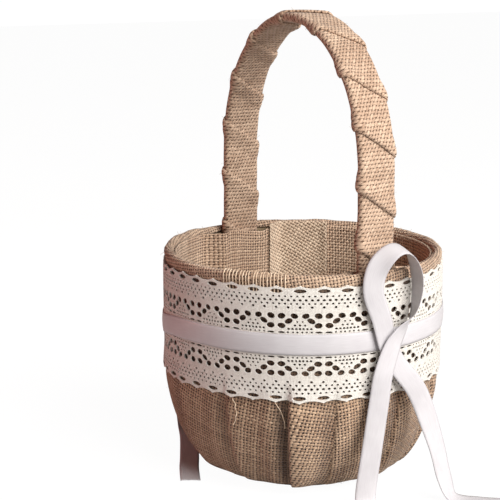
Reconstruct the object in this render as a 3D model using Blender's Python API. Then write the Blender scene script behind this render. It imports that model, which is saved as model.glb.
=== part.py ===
"""Flower girl basket: a stiff bowl dressed in burlap, with a wrapped arch handle, a lace
band with a satin ribbon round its middle, and a single-loop satin bow at each handle foot.
Metres, +Z up. The origin is the centre of the base, on the surface it stands on. The
handle lies in the XZ plane."""

import math

import bmesh
import bpy
from mathutils import Matrix, Vector

MM = 0.001
SEGMENTS = 48  # facets round the bowl
FIT = 0.3 * MM  # clear gap between neighbouring pieces

# Bowl wall, measured on the outside of the burlap cover
BASE_RADIUS = 41 * MM
BELLY_RADIUS = 69 * MM
BELLY_HEIGHT = 60 * MM
RIM_RADIUS = 68 * MM
WALL_TOP = 109 * MM
CURVE_STEPS = 6

# Thickness of each layer, from the outside inwards
BASE_COVER_THICKNESS = 1.2 * MM
COVER_THICKNESS = 1.0 * MM
SHELL_THICKNESS = 1.5 * MM
LINING_THICKNESS = 1.0 * MM
BOARD_THICKNESS = 2.0 * MM

COVER_TURN_UNDER = 8 * MM  # how far the cover is glued under the base
BASE_COVER_MARGIN = 1.5 * MM  # how far the base disc reaches past the flat of the bowl
LINING_SKIP = 1  # steps of the bowl's curve below the wall lining
LINING_LIP = 1.5 * MM  # how far the lining stands above the wall
LINING_FLOOR_GAP = 1 * MM  # from the lining's disc to the lining of the wall

# Folded strip over the rim
BINDING_THICKNESS = 0.9 * MM
BINDING_DROP = 6 * MM
BINDING_RISE = 2.7 * MM
BINDING_ROUND = 1.0 * MM

# Loose burlap panel inside the back
PANEL_FROM_SEGMENT = 18
PANEL_TO_SEGMENT = 22
PANEL_LIP = 4 * MM  # how far it stands above the wall

# Lace and the satin ribbon threaded round it
LACE_THICKNESS = 0.9 * MM
LACE_HEIGHT = 56 * MM
LACE_STEPS = 5  # from its lower edge to the lower edge of the strip over the rim
LACE_BELOW_WALL = 0.7 * MM  # how far the lace's top edge is under the wall's
RIBBON_WIDTH = 10 * MM
RIBBON_THICKNESS = 0.5 * MM
BAND_CENTRE = 80.5 * MM

# Handle: a bent flat strip in a burlap wrap
CORE_WIDTH = 16.4 * MM
CORE_THICKNESS = 2.4 * MM
WRAP_THICKNESS = 1.3 * MM
HANDLE_HEIGHT = 229.5 * MM
SPRING_HEIGHT = 155 * MM  # where the straight legs become the arch
FOOT_DEPTH = 35 * MM  # how far the feet reach below the top of the wall
CORE_RECESS = 1.0 * MM  # how far the core stops inside the wrap's end
ARCH_STEPS = 20
LEG_STEPS = 3

# Rivets through each foot and the bowl wall
RIVET_DEPTHS = {"lower": 27 * MM, "upper": 11 * MM}  # below the top of the wall
RIVET_RADIUS = 1.2 * MM
RIVET_HEAD_RADIUS = 2.4 * MM
RIVET_HEAD_HEIGHT = 0.9 * MM
POCKET_BLEND = math.radians(10)  # over which the lining comes back to the wall
POCKET_TAPER = 10 * MM  # height over which the pocket closes below the foot

# Bows
BOW_SETBACK = 2.0 * MM  # from the satin band to the first strand's middle
BOW_SWAY = 0.8 * MM  # room for the first strand's slant over the glue
GLUE_DOT_RADIUS = 3 * MM
BOW_STEPS = 2
BACK_LOOP_RISE = 0.62  # the back bow's loop is limp: its height, as a share of the front's
BACK_LOOP_LEAN = 0.14  # and how far it leans away from the wall for its height


def upper_radius(height):
    """Outside radius of the cover above the belly, where the wall leans in a little, and
    upright above the wall."""
    share = (min(height, WALL_TOP) - BELLY_HEIGHT) / (WALL_TOP - BELLY_HEIGHT)
    return BELLY_RADIUS - (BELLY_RADIUS - RIM_RADIUS) * share**2


# Places worked out from the sizes above
WRAP_WIDTH = CORE_WIDTH + 2 * (FIT + WRAP_THICKNESS)
HANDLE_THICKNESS = CORE_THICKNESS + 2 * (FIT + WRAP_THICKNESS)
COVER_BOTTOM = BASE_COVER_THICKNESS + FIT
SHELL_INSET = COVER_THICKNESS + FIT
SHELL_INNER_INSET = SHELL_INSET + SHELL_THICKNESS
LINING_INSET = SHELL_INNER_INSET + FIT
LINING_INNER_INSET = LINING_INSET + LINING_THICKNESS
FLAT = math.cos(math.pi / SEGMENTS)  # how far a facet's middle comes inside its corners
FOOT_HEIGHT = WALL_TOP - FOOT_DEPTH
FOOT_WALL = min(RIM_RADIUS, upper_radius(FOOT_HEIGHT)) - SHELL_INNER_INSET
LEG_OUTER = math.sqrt((FOOT_WALL * FLAT - FIT) ** 2 - (WRAP_WIDTH / 2) ** 2)
HALF_SPAN = LEG_OUTER - HANDLE_THICKNESS / 2
LEG_INNER = LEG_OUTER - HANDLE_THICKNESS
APEX = HANDLE_HEIGHT - HANDLE_THICKNESS / 2
RIVET_HEAD_FACE = LEG_INNER - FIT - RIVET_HEAD_HEIGHT
POCKET_RADIUS = (RIVET_HEAD_FACE - FIT) / FLAT - FIT
POCKET_FULL = math.atan2(WRAP_WIDTH / 2, LEG_INNER) + math.pi / SEGMENTS
POCKET_EDGE = POCKET_FULL + POCKET_BLEND
BINDING_INNER = RIM_RADIUS - SHELL_INNER_INSET
BINDING_BOTTOM = WALL_TOP - BINDING_DROP
LACE_TOP = WALL_TOP - LACE_BELOW_WALL
LACE_BOTTOM = LACE_TOP - LACE_HEIGHT


def lace_radius(height):
    """Inside radius of the lace, which lies on the cover and, higher up, on the folded
    strip over the rim."""
    height = min(max(height, LACE_BOTTOM), LACE_TOP)
    share = min((height - LACE_BOTTOM) / (BINDING_BOTTOM - LACE_BOTTOM), 1)
    return upper_radius(height) + FIT + (FIT + BINDING_THICKNESS) * share


def band_radius(height):
    """Inside radius of the satin band, which lies on the lace."""
    return lace_radius(height) + LACE_THICKNESS + FIT


def finish(name, colour, roughness, metallic=0.0):
    """A plain material of one colour."""
    material = bpy.data.materials.new(name)
    material.use_nodes = True
    shader = material.node_tree.nodes["Principled BSDF"]
    shader.inputs["Base Color"].default_value = (*colour, 1)
    shader.inputs["Roughness"].default_value = roughness
    shader.inputs["Metallic"].default_value = metallic
    return material


def add_object(name, shape, material):
    """Turns a bmesh into a named object with its faces pointing out."""
    bmesh.ops.recalc_face_normals(shape, faces=shape.faces)
    mesh = bpy.data.meshes.new(name)
    shape.to_mesh(mesh)
    shape.free()
    mesh.materials.append(material)
    mesh.shade_smooth()
    mesh.set_sharp_from_angle(angle=math.radians(40))
    thing = bpy.data.objects.new(name, mesh)
    bpy.context.scene.collection.objects.link(thing)
    return thing


def join_loops(shape, first, second):
    """Faces between two closed loops of the same number of points. Each diagonal runs
    from the first loop's lower point, so layers that lie on each other bend alike."""
    count = len(first)
    for i in range(count):
        j = (i + 1) % count
        corners = [first[i], first[j], second[j], second[i]]
        if first[i].co.z > first[j].co.z:
            corners = corners[1:] + corners[:1]
        shape.faces.new(corners[:3])
        shape.faces.new((corners[2], corners[3], corners[0]))


def ring_solid(name, section, material, first=0, last=SEGMENTS):
    """A closed section of (radius, height) points, carried round the bowl from one
    segment to another. section takes the angle. A full turn closes on itself."""
    shape = bmesh.new()
    full = last - first == SEGMENTS
    loops = []
    for step in range(first, last if full else last + 1):
        angle = math.tau * step / SEGMENTS
        points = [(r * math.cos(angle), r * math.sin(angle), z) for r, z in section(angle)]
        loops.append([shape.verts.new(point) for point in points])
    for before, after in zip(loops, loops[1:]):
        join_loops(shape, before, after)
    if full:
        join_loops(shape, loops[-1], loops[0])
    else:
        shape.faces.new(loops[0])
        shape.faces.new(loops[-1])
    return add_object(name, shape, material)


def turned_solid(name, profile, material, sides=SEGMENTS):
    """A solid turned about Z from a profile whose first and last points are on the axis."""
    shape = bmesh.new()
    bottom = shape.verts.new((0, 0, profile[0][1]))
    top = shape.verts.new((0, 0, profile[-1][1]))
    loops = []
    for radius, height in profile[1:-1]:
        turn = [math.tau * step / sides for step in range(sides)]
        ring = [(radius * math.cos(a), radius * math.sin(a), height) for a in turn]
        loops.append([shape.verts.new(point) for point in ring])
    for before, after in zip(loops, loops[1:]):
        join_loops(shape, before, after)
    for i in range(sides):
        j = (i + 1) % sides
        shape.faces.new((bottom, loops[0][i], loops[0][j]))
        shape.faces.new((top, loops[-1][i], loops[-1][j]))
    return add_object(name, shape, material)


def swept_solid(name, stations, material, hollow=False):
    """A bar through a list of loops. A hollow one has its inner loop second in each."""
    shape = bmesh.new()
    if not hollow:
        loops = [[shape.verts.new(point) for point in loop] for loop in stations]
        for before, after in zip(loops, loops[1:]):
            join_loops(shape, before, after)
        shape.faces.new(loops[0])
        shape.faces.new(loops[-1])
        return add_object(name, shape, material)
    pairs = [[[shape.verts.new(p) for p in loop] for loop in pair] for pair in stations]
    for before, after in zip(pairs, pairs[1:]):
        join_loops(shape, before[0], after[0])
        join_loops(shape, before[1], after[1])
    for outer, inner in (pairs[0], pairs[-1]):
        join_loops(shape, outer, inner)
    return add_object(name, shape, material)


def wall_curve(inset, top, skip=0):
    """The wall's profile from its flat base up to a height, moved inwards by inset: a
    quarter of an ellipse up to the belly, then a nearly upright wall, with points where
    the lining's pockets over the feet begin and end."""
    across = BELLY_RADIUS - BASE_RADIUS
    up = BELLY_HEIGHT - COVER_BOTTOM
    levels = [FOOT_HEIGHT - POCKET_TAPER, FOOT_HEIGHT, (FOOT_HEIGHT + WALL_TOP) / 2]
    levels += [WALL_TOP] if top > WALL_TOP else []
    low = [level for level in levels if level < BELLY_HEIGHT - FIT]
    high = [level for level in levels if level > BELLY_HEIGHT + FIT]
    turns = [math.pi / 2 * step / CURVE_STEPS for step in range(skip, CURVE_STEPS + 1)]
    turns += [math.acos(1 - (level - COVER_BOTTOM) / up) for level in low]
    points = []
    for turn in sorted(turns):
        normal = Vector((up * math.sin(turn), -across * math.cos(turn))).normalized()
        radius = BASE_RADIUS + across * math.sin(turn) - normal.x * inset
        height = COVER_BOTTOM + up * (1 - math.cos(turn)) - normal.y * inset
        points.append((radius, height))
    return points + [(upper_radius(level) - inset, level) for level in (*high, top)]


def smooth(share):
    share = min(max(share, 0.0), 1.0)
    return share * share * (3 - 2 * share)


def pocket(angle, height):
    """How much the lining stands in over a handle foot, from 0 to 1."""
    off_foot = abs((angle + math.pi / 2) % math.pi - math.pi / 2)
    aside = smooth((POCKET_EDGE - off_foot) / (POCKET_EDGE - POCKET_FULL))
    above = smooth((height - FOOT_HEIGHT + POCKET_TAPER + FIT) / POCKET_TAPER)
    return aside * above


def over_foot(angle, radius, height, depth=0.0):
    """Radius of a lining layer, brought in over the handle feet."""
    weight = pocket(angle, height)
    return radius * (1 - weight) + (POCKET_RADIUS - depth) * weight


def bowl_shell(material):
    """The stiff moulded bowl that carries everything."""
    outer = wall_curve(SHELL_INSET, WALL_TOP)
    inner = wall_curve(SHELL_INNER_INSET, WALL_TOP)
    profile = [(0, outer[0][1]), *outer, *reversed(inner), (0, inner[0][1])]
    return turned_solid("bowl_shell", profile, material)


def outer_cover(material):
    """Burlap over the outside, turned under the base."""
    outer = wall_curve(0, WALL_TOP)
    inner = wall_curve(COVER_THICKNESS, WALL_TOP)
    edge = BASE_RADIUS - COVER_TURN_UNDER
    loop = [(edge, outer[0][1]), *outer, *reversed(inner), (edge, inner[0][1])]
    return ring_solid("outer_cover", lambda angle: loop, material)


def disc(name, radius, bottom, thickness, material):
    profile = [(0, bottom), (radius, bottom), (radius, bottom + thickness)]
    return turned_solid(name, [*profile, (0, bottom + thickness)], material)


def base_pieces(burlap, board):
    """The disc under the base, and the board and its burlap disc on the inside."""
    disc("base_cover", BASE_RADIUS + BASE_COVER_MARGIN, 0, BASE_COVER_THICKNESS, burlap)
    board_bottom = COVER_BOTTOM + SHELL_INNER_INSET + FIT
    disc("base_board", BASE_RADIUS - FIT, board_bottom, BOARD_THICKNESS, board)
    floor_bottom = board_bottom + BOARD_THICKNESS + FIT
    wall_lining = wall_curve(LINING_INNER_INSET, WALL_TOP, LINING_SKIP)
    floor_radius = wall_lining[0][0] - LINING_FLOOR_GAP
    disc("lining_floor", floor_radius, floor_bottom, LINING_THICKNESS, burlap)


def lining_wall(material):
    """Burlap lining, glued to the wall and carried over the two handle feet."""

    def section(angle):
        outer = wall_curve(LINING_INSET, WALL_TOP + LINING_LIP, LINING_SKIP)
        inner = wall_curve(LINING_INNER_INSET, WALL_TOP + LINING_LIP, LINING_SKIP)
        near = [(over_foot(angle, r, z), z) for r, z in outer]
        far = [(over_foot(angle, r, z, LINING_THICKNESS), z) for r, z in inner]
        return [*near, *reversed(far)]

    return ring_solid("lining_wall", section, material)


def lining_overlap(material):
    """A loose piece of the lining that laps over the rest of it at the back, from the
    belly to just above the rim."""

    def section(angle):
        lining = wall_curve(LINING_INNER_INSET, WALL_TOP + PANEL_LIP, LINING_SKIP)
        upper = [(r, z) for r, z in lining if z > BELLY_HEIGHT - FIT]
        face = [(over_foot(angle, r, z, LINING_THICKNESS), z) for r, z in upper]
        near = [(radius - FIT, height) for radius, height in face]
        far = [(radius - LINING_THICKNESS, height) for radius, height in near]
        return [*near, *reversed(far)]

    ends = (PANEL_FROM_SEGMENT, PANEL_TO_SEGMENT)
    return ring_solid("lining_overlap", section, material, *ends)


def rim_binding(material):
    """A folded burlap strip over the rim: a cap on the wall and a leg down its outside."""
    cap = WALL_TOP + FIT
    top = cap + BINDING_RISE
    hem = upper_radius(BINDING_BOTTOM) + FIT
    leg = RIM_RADIUS + FIT
    outer = leg + BINDING_THICKNESS
    loop = [
        (hem, BINDING_BOTTOM),
        (hem + BINDING_THICKNESS, BINDING_BOTTOM),
        (outer, WALL_TOP),
        (outer, top - BINDING_ROUND),
        (outer - BINDING_ROUND, top),
        (BINDING_INNER + BINDING_ROUND, top),
        (BINDING_INNER, top - BINDING_ROUND),
        (BINDING_INNER, cap),
        (leg, cap),
    ]
    return ring_solid("rim_binding", lambda angle: loop, material)


def band(name, inner_radius, thickness, levels, material):
    """A thin band round the bowl. inner_radius gives its inside radius at each level."""
    inner = [(inner_radius(level), level) for level in levels]
    outer = [(radius + thickness, level) for radius, level in inner]
    loop = [*outer, *reversed(inner)]
    return ring_solid(name, lambda angle: loop, material)


def arch(offset, low):
    """Points of the handle's line in XZ, with its outward normals, moved out by offset.
    Upright legs carry half an ellipse."""
    rise = APEX - SPRING_HEIGHT
    line = []
    for step in range(LEG_STEPS):
        height = low + (SPRING_HEIGHT - low) * step / LEG_STEPS
        line.append((HALF_SPAN + offset, height))
    for step in range(ARCH_STEPS + 1):
        turn = math.pi * step / ARCH_STEPS
        normal = Vector((rise * math.cos(turn), HALF_SPAN * math.sin(turn))).normalized()
        x = HALF_SPAN * math.cos(turn) + normal.x * offset
        line.append((x, SPRING_HEIGHT + rise * math.sin(turn) + normal.y * offset))
    other_leg = [(-x, z) for x, z in reversed(line[:LEG_STEPS])]
    return line + other_leg


def arch_loops(thickness, width, low):
    """Rectangular loops along the handle."""
    outside = arch(thickness / 2, low)
    inside = arch(-thickness / 2, low)
    loops = []
    for (xo, zo), (xi, zi) in zip(outside, inside):
        half = width / 2
        loops.append([(xo, -half, zo), (xo, half, zo), (xi, half, zi), (xi, -half, zi)])
    return loops


def handle(core_material, wrap_material):
    core = arch_loops(CORE_THICKNESS, CORE_WIDTH, FOOT_HEIGHT + CORE_RECESS)
    core_object = swept_solid("handle_core", core, core_material)
    outer = arch_loops(HANDLE_THICKNESS, WRAP_WIDTH, FOOT_HEIGHT)
    hole = (CORE_THICKNESS + 2 * FIT, CORE_WIDTH + 2 * FIT)
    inner = arch_loops(*hole, FOOT_HEIGHT)
    wrap = swept_solid("handle_wrap", list(zip(outer, inner)), wrap_material, hollow=True)
    return core_object, wrap


def rivets(material, drilled):
    """Rivets from inside the bowl, through each foot, into the wall. Their heads are under
    the lining and their ends stop flush in the wall."""
    for side, turn in (("front", 0), ("back", math.pi)):
        for level, depth in RIVET_DEPTHS.items():
            height = WALL_TOP - depth
            edges = (height - RIVET_RADIUS, height + RIVET_RADIUS)
            end = min(upper_radius(edge) for edge in edges) - SHELL_INSET - FIT
            profile = [
                (0, RIVET_HEAD_FACE),
                (RIVET_HEAD_RADIUS * 0.6, RIVET_HEAD_FACE),
                (RIVET_HEAD_RADIUS, RIVET_HEAD_FACE + RIVET_HEAD_HEIGHT * 0.6),
                (RIVET_HEAD_RADIUS, RIVET_HEAD_FACE + RIVET_HEAD_HEIGHT),
                (RIVET_RADIUS, RIVET_HEAD_FACE + RIVET_HEAD_HEIGHT),
                (RIVET_RADIUS, end),
                (0, end),
            ]
            place = Matrix.Rotation(turn, 4, "Z") @ Matrix.Translation((0, 0, height))
            place = place @ Matrix.Rotation(math.pi / 2, 4, "Y")
            rivet = turned_solid(f"foot_rivet_{side}_{level}", profile, material, 16)
            rivet.matrix_world = place
            hole = RIVET_RADIUS + FIT
            bore = [(0, LEG_INNER / 2), (hole, LEG_INNER / 2)]
            bore += [(hole, BELLY_RADIUS * 2), (0, BELLY_RADIUS * 2)]
            cutter = turned_solid(f"rivet_bore_{side}_{level}", bore, material, 16)
            cutter.matrix_world = place
            cutter.hide_render = True
            cutter.display_type = "WIRE"
            for piece in drilled:
                cut = piece.modifiers.new(cutter.name, "BOOLEAN")
                cut.operation = "DIFFERENCE"
                cut.object = cutter


# A bow's ribbon from the end of one tail, up over its loop, to the end of the other:
# how far it stands off the satin band, how far it lies to the side, its height, and
# the way its face looks (out, to the side, up). Millimetres, with the band at BAND_DRAWN.
BAND_DRAWN = 80.5
FLOOR_LAY = 0.6
LOOP = [
    ((3.6, 15.5, 53), (0.95, -0.3, 0.1)),
    ((0.4, 5.5, 67.5), (1, 0, 0)),
    ((0, -0.5, 78), (1, 0, 0)),
    ((0.2, -4.5, 91), (1, -0.2, 0)),
    ((0.4, -9.5, 104), (0.95, -0.35, 0.05)),
    ((0.8, -8.5, 114), (0.85, -0.45, 0.3)),
    ((1.6, -3.5, 121.2), (0.55, -0.4, 0.75)),
    ((2.0, 3.2, 124.2), (0.35, -0.1, 0.93)),
    ((1.6, 9.8, 121.2), (0.35, 0.6, 0.75)),
    ((1.2, 14.3, 112.5), (0.4, 0.9, 0.25)),
    ((1.0, 15.2, 102.5), (0.45, 0.9, 0)),
    ((1.3, 12.2, 91), (0.7, 0.7, -0.1)),
    ((1.5, 4.2, 82), (0.95, 0.3, -0.1)),
    ((1.6, 0.2, 76), (1, 0, 0)),
    ((1.6, -4, 64), (1, -0.2, 0)),
    ((1.0, -5.4, 51), (0.95, -0.3, 0)),
    ((0.5, -8.8, 27), (0.95, -0.35, 0)),
    ((1.2, -12.2, 9), (0.9, -0.35, 0.2)),
    ((5, -15, 1.5), (0.4, -0.2, 0.9)),
    ((13, -22, FLOOR_LAY), (0, 0, 1)),
    ((24, -32.5, FLOOR_LAY), (0, 0, 1)),
    ((38, -44, FLOOR_LAY), (0, 0, 1)),
]
FRONT_TAIL = [
    ((46, 66, FLOOR_LAY), (0, 0, 1)),
    ((34, 51, FLOOR_LAY), (0, 0, 1)),
    ((24, 39, FLOOR_LAY), (0, 0, 1)),
    ((17, 28.5, 2), (0.5, 0.3, 0.8)),
    ((12.5, 25.6, 12), (1, 0.2, 0.15)),
    ((8.8, 22.8, 28.7), (0.95, 0.1, 0)),
]
BACK_TAIL = [
    ((-75, 67, FLOOR_LAY), (0, 0, -1)),
    ((-60, 59.5, FLOOR_LAY), (0, 0, -1)),
    ((-44, 50.5, FLOOR_LAY), (0, 0, -1)),
    ((-18, 36.5, FLOOR_LAY), (0, 0, -1)),
    ((-4, 30.5, 1.8), (0.5, 0.1, -0.8)),
    ((3.6, 28, 11), (1, 0.1, -0.15)),
    ((5.6, 25.5, 28), (0.95, 0.1, 0)),
]


def curve_through(a, b, c, d, share):
    """A point between b and c on a smooth curve through all four."""
    leaving = (c - a) / 2
    arriving = (d - b) / 2
    ease = share * share * (3 - 2 * share)
    middle = b.lerp(c, ease)
    return middle + (leaving * (1 - share) - arriving * share) * share * (1 - share)


def limp(loop):
    """A loop that stands lower and leans out above the band."""
    points = []
    for (out, aside, height), face in loop:
        above = max(height - BAND_DRAWN, 0)
        lowered = height - above * (1 - BACK_LOOP_RISE)
        points.append(((out + above * BACK_LOOP_LEAN, aside, lowered), face))
    return points


def bow_place(out, aside, height):
    """A bow's point in metres: its tails reach from the band to the floor, its loop
    stands on the band, and both lean with the wall."""
    centre = BAND_CENTRE / MM
    if height > BAND_DRAWN:
        height += centre - BAND_DRAWN
    else:
        reach = (centre - FLOOR_LAY) / (BAND_DRAWN - FLOOR_LAY)
        height = FLOOR_LAY + (height - FLOOR_LAY) * reach
    start = band_radius(height * MM) + RIBBON_THICKNESS + BOW_SETBACK
    return Vector((start + out * MM, aside * MM, height * MM))


def bow(name, points, turn, material):
    """One satin ribbon: two crossed tails and an upright loop."""
    places = [bow_place(*place) for place, _ in points]
    faces = [Vector(face) for _, face in points]
    count = len(points)
    line = []
    for i in range(count - 1):
        near = [max(i - 1, 0), i, i + 1, min(i + 2, count - 1)]
        for step in range(BOW_STEPS):
            share = step / BOW_STEPS
            spot = curve_through(*[places[k] for k in near], share)
            line.append((spot, faces[i].lerp(faces[i + 1], share)))
    line.append((places[-1], faces[-1]))
    stations = []
    for i, (spot, face) in enumerate(line):
        along = (line[min(i + 1, len(line) - 1)][0] - line[max(i - 1, 0)][0]).normalized()
        out = (face - along * face.dot(along)).normalized()
        side = along.cross(out) * (RIBBON_WIDTH / 2)
        out *= RIBBON_THICKNESS / 2
        top = [spot + side + out, spot - side + out]
        stations.append([*top, spot - side - out, spot + side - out])
    ribbon = swept_solid(name, stations, material)
    ribbon.matrix_world = Matrix.Rotation(turn, 4, "Z")


def glue_dot(name, turn, material):
    """A drop of set glue between the satin band and a bow's crossing, square to the
    band."""
    thickness = BOW_SETBACK - RIBBON_THICKNESS / 2 - BOW_SWAY - FIT
    dot = disc(name, GLUE_DOT_RADIUS, FIT, thickness, material)
    above = band_radius(BAND_CENTRE + GLUE_DOT_RADIUS)
    below = band_radius(BAND_CENTRE - GLUE_DOT_RADIUS)
    lean = math.atan2(below - above, 2 * GLUE_DOT_RADIUS)
    spot = (band_radius(BAND_CENTRE) + RIBBON_THICKNESS, 0, BAND_CENTRE)
    place = Matrix.Rotation(turn, 4, "Z") @ Matrix.Translation(spot)
    dot.matrix_world = place @ Matrix.Rotation(math.pi / 2 - lean, 4, "Y")


def build():
    for thing in list(bpy.data.objects):
        bpy.data.objects.remove(thing, do_unlink=True)
    burlap = finish("burlap", (0.49, 0.31, 0.17), 0.92)
    lining = finish("burlap_lining", (0.44, 0.28, 0.15), 0.92)
    plastic = finish("moulded_plastic", (0.35, 0.27, 0.18), 0.5)
    board = finish("board", (0.42, 0.33, 0.22), 0.85)
    strip = finish("bent_strip", (0.55, 0.4, 0.22), 0.6)
    lace = finish("cotton_lace", (0.84, 0.81, 0.76), 0.85)
    satin = finish("satin", (0.86, 0.86, 0.88), 0.32)
    steel = finish("steel", (0.56, 0.56, 0.57), 0.35, 1.0)
    glue = finish("set_glue", (0.8, 0.78, 0.7), 0.4)
    shell = bowl_shell(plastic)
    outer_cover(burlap)
    base_pieces(burlap, board)
    lining_wall(lining)
    lining_overlap(lining)
    rim_binding(burlap)
    rise = (BINDING_BOTTOM - LACE_BOTTOM) / LACE_STEPS
    lace_levels = [LACE_BOTTOM + rise * step for step in range(LACE_STEPS + 1)]
    band("lace_band", lace_radius, LACE_THICKNESS, [*lace_levels, LACE_TOP], lace)
    edges = (BAND_CENTRE - RIBBON_WIDTH / 2, BAND_CENTRE + RIBBON_WIDTH / 2)
    band("ribbon_band", band_radius, RIBBON_THICKNESS, edges, satin)
    core, wrap = handle(strip, burlap)
    rivets(steel, (shell, core, wrap))
    bow("bow_front", FRONT_TAIL + LOOP, 0, satin)
    bow("bow_back", BACK_TAIL + limp(LOOP), math.pi, satin)
    glue_dot("bow_glue_front", 0, glue)
    glue_dot("bow_glue_back", math.pi, glue)


build()
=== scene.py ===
import math

import bmesh
import bpy
import numpy as np
from mathutils import Matrix, Vector, noise


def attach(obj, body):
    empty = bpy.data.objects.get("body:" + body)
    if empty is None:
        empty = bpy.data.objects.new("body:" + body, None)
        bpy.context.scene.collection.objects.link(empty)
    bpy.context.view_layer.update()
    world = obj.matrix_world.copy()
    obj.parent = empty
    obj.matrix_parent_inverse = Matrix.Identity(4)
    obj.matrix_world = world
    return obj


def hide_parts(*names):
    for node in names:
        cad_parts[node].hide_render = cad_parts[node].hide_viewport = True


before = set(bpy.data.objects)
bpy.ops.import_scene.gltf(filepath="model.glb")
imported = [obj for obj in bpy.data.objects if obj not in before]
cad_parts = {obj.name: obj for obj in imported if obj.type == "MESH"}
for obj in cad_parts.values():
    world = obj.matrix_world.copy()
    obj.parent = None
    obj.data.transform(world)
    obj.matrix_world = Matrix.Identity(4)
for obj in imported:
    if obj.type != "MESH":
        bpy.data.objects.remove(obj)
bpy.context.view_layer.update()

# Bowl shell. A stiff bowl moulded in tan plastic, hidden under the cloth. It is the CAD
# solid, given a fine moulded grain.


def node(tree, kind, inputs=None, **settings):
    """A shader or geometry node. An input given a socket is linked, and any other is set."""
    made = tree.nodes.new(kind)
    for name, value in settings.items():
        setattr(made, name, value)
    for key, value in (inputs or {}).items():
        if isinstance(value, bpy.types.NodeSocket):
            tree.links.new(value, made.inputs[key])
        else:
            made.inputs[key].default_value = value
    return made


def sums(tree, operation, *terms):
    """One Math node, as its result."""
    return node(tree, "ShaderNodeMath", dict(enumerate(terms)), operation=operation).outputs[0]


def spread(tree, value, low, high, to_low=0.0, to_high=1.0, kind="LINEAR"):
    """A value carried from one range to another."""
    inputs = {"Value": value, "From Min": low, "From Max": high, "To Min": to_low, "To Max": to_high}
    return node(tree, "ShaderNodeMapRange", inputs, interpolation_type=kind).outputs["Result"]


def speckle(tree, place, scale, detail=2.0, roughness=0.5):
    inputs = {"Vector": place, "Scale": scale, "Detail": detail, "Roughness": roughness}
    return node(tree, "ShaderNodeTexNoise", inputs)


def blend(tree, share, first, second, kind="MIX"):
    """Two colours mixed."""
    made = node(tree, "ShaderNodeMix", {0: share, 6: first, 7: second}, data_type="RGBA")
    made.blend_type = kind
    return made.outputs[2]


def new_finish(name, roughness, **fixed):
    """A material with one shader. fixed holds the shader's values that are the same all over."""
    material = bpy.data.materials.new(name)
    material.use_nodes = True
    tree = material.node_tree
    shader = tree.nodes["Principled BSDF"]
    shader.inputs["Roughness"].default_value = roughness
    for key, value in fixed.items():
        shader.inputs[key.replace("_", " ")].default_value = value
    return material, tree, shader


def relief(tree, shader, height, strength, distance):
    """Bump from a height."""
    inputs = {"Strength": strength, "Distance": distance, "Height": height}
    bump = node(tree, "ShaderNodeBump", inputs)
    tree.links.new(bump.outputs["Normal"], shader.inputs["Normal"])


def object_place(tree):
    return node(tree, "ShaderNodeTexCoord").outputs["Object"]


def cloth_place(tree):
    return node(tree, "ShaderNodeUVMap", uv_map="cloth").outputs["UV"]


def grained_finish(name, light, dark, scale, roughness, height, **fixed):
    """A moulded or pressed finish, mottled and lightly pitted."""
    material, tree, shader = new_finish(name, roughness, **fixed)
    place = object_place(tree)
    mottle = speckle(tree, place, scale, 5.0, 0.6).outputs[0]
    pits = speckle(tree, place, scale * 9, 3.0, 0.6).outputs[0]
    colour = blend(tree, spread(tree, mottle, 0.35, 0.65), (*dark, 1), (*light, 1))
    tree.links.new(colour, shader.inputs["Base Color"])
    rough = spread(tree, pits, 0.3, 0.7, roughness - 0.08, roughness + 0.08)
    tree.links.new(rough, shader.inputs["Roughness"])
    relief(tree, shader, pits, 0.4, height)
    return material


def refinish(name, material):
    """Gives a CAD solid its material in every slot."""
    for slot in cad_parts[name].material_slots:
        slot.material = material


refinish("bowl_shell", grained_finish("moulded tan plastic", (0.36, 0.27, 0.17),
                                      (0.30, 0.22, 0.14), 60, 0.5, 0.0002))

# Base board. A disc of grey-brown pressed board that keeps the floor of the basket flat,
# laid loose in the shell. It is the CAD solid, with the flecks of recycled board.

refinish("base_board", grained_finish("pressed board", (0.44, 0.35, 0.24),
                                      (0.31, 0.24, 0.16), 240, 0.88, 0.0003))

# Handle core and rivets. A bent flat strip of pale wood, riveted through each foot to the
# shell with steel rivets. Both are the CAD solids.


def split_wood():
    """Long grain down the strip."""
    material, tree, shader = new_finish("bent wood strip", 0.6)
    place = object_place(tree)
    long_grain = node(tree, "ShaderNodeMapping", {"Vector": place, "Scale": (1, 18, 1)})
    grain = speckle(tree, long_grain.outputs[0], 55, 6.0, 0.65).outputs[0]
    colour = blend(tree, spread(tree, grain, 0.3, 0.7), (0.47, 0.31, 0.16, 1), (0.66, 0.49, 0.29, 1))
    tree.links.new(colour, shader.inputs["Base Color"])
    relief(tree, shader, grain, 0.5, 0.0003)
    return material


refinish("handle_core", split_wood())
steel = grained_finish("rolled steel", (0.62, 0.62, 0.63), (0.45, 0.45, 0.46), 420, 0.34,
                       0.00008, Metallic=1.0)
for side in ("front", "back"):
    for level in ("lower", "upper"):
        refinish(f"foot_rivet_{side}_{level}", steel)

# Outer cover. Burlap over the outside of the bowl, glued on in one piece. The bowl is
# narrower at its foot, so the spare cloth is laid in pleats that lean to the left.

MM = 0.001
BASE_RADIUS = 41 * MM
BELLY_RADIUS = 69 * MM
BELLY_HEIGHT = 60 * MM
WALL_TOP = 109 * MM
COVER_BOTTOM = 1.5 * MM
COVER_THICKNESS = 1.0 * MM
COVER_COLUMNS = 600

# Each pleat: its angle, how high its fold stands, how far the fold leans over.
PLEATS = [
    (-153, 1.8, 0.5),
    (-122, 1.2, 0.4),
    (-93, 1.5, 0.4),
    (-64, 1.5, 0.2),
    (-37.6, 4.0, 0.35),
    (-19.6, 1.5, 0.15),
    (9, 2.0, 0.5),
    (35, 1.4, 0.3),
    (64, 1.7, 0.5),
    (95, 2.0, 0.6),
    (124, 1.3, 0.3),
    (151, 2.1, 0.6),
    (179, 1.5, 0.4),
]
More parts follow.
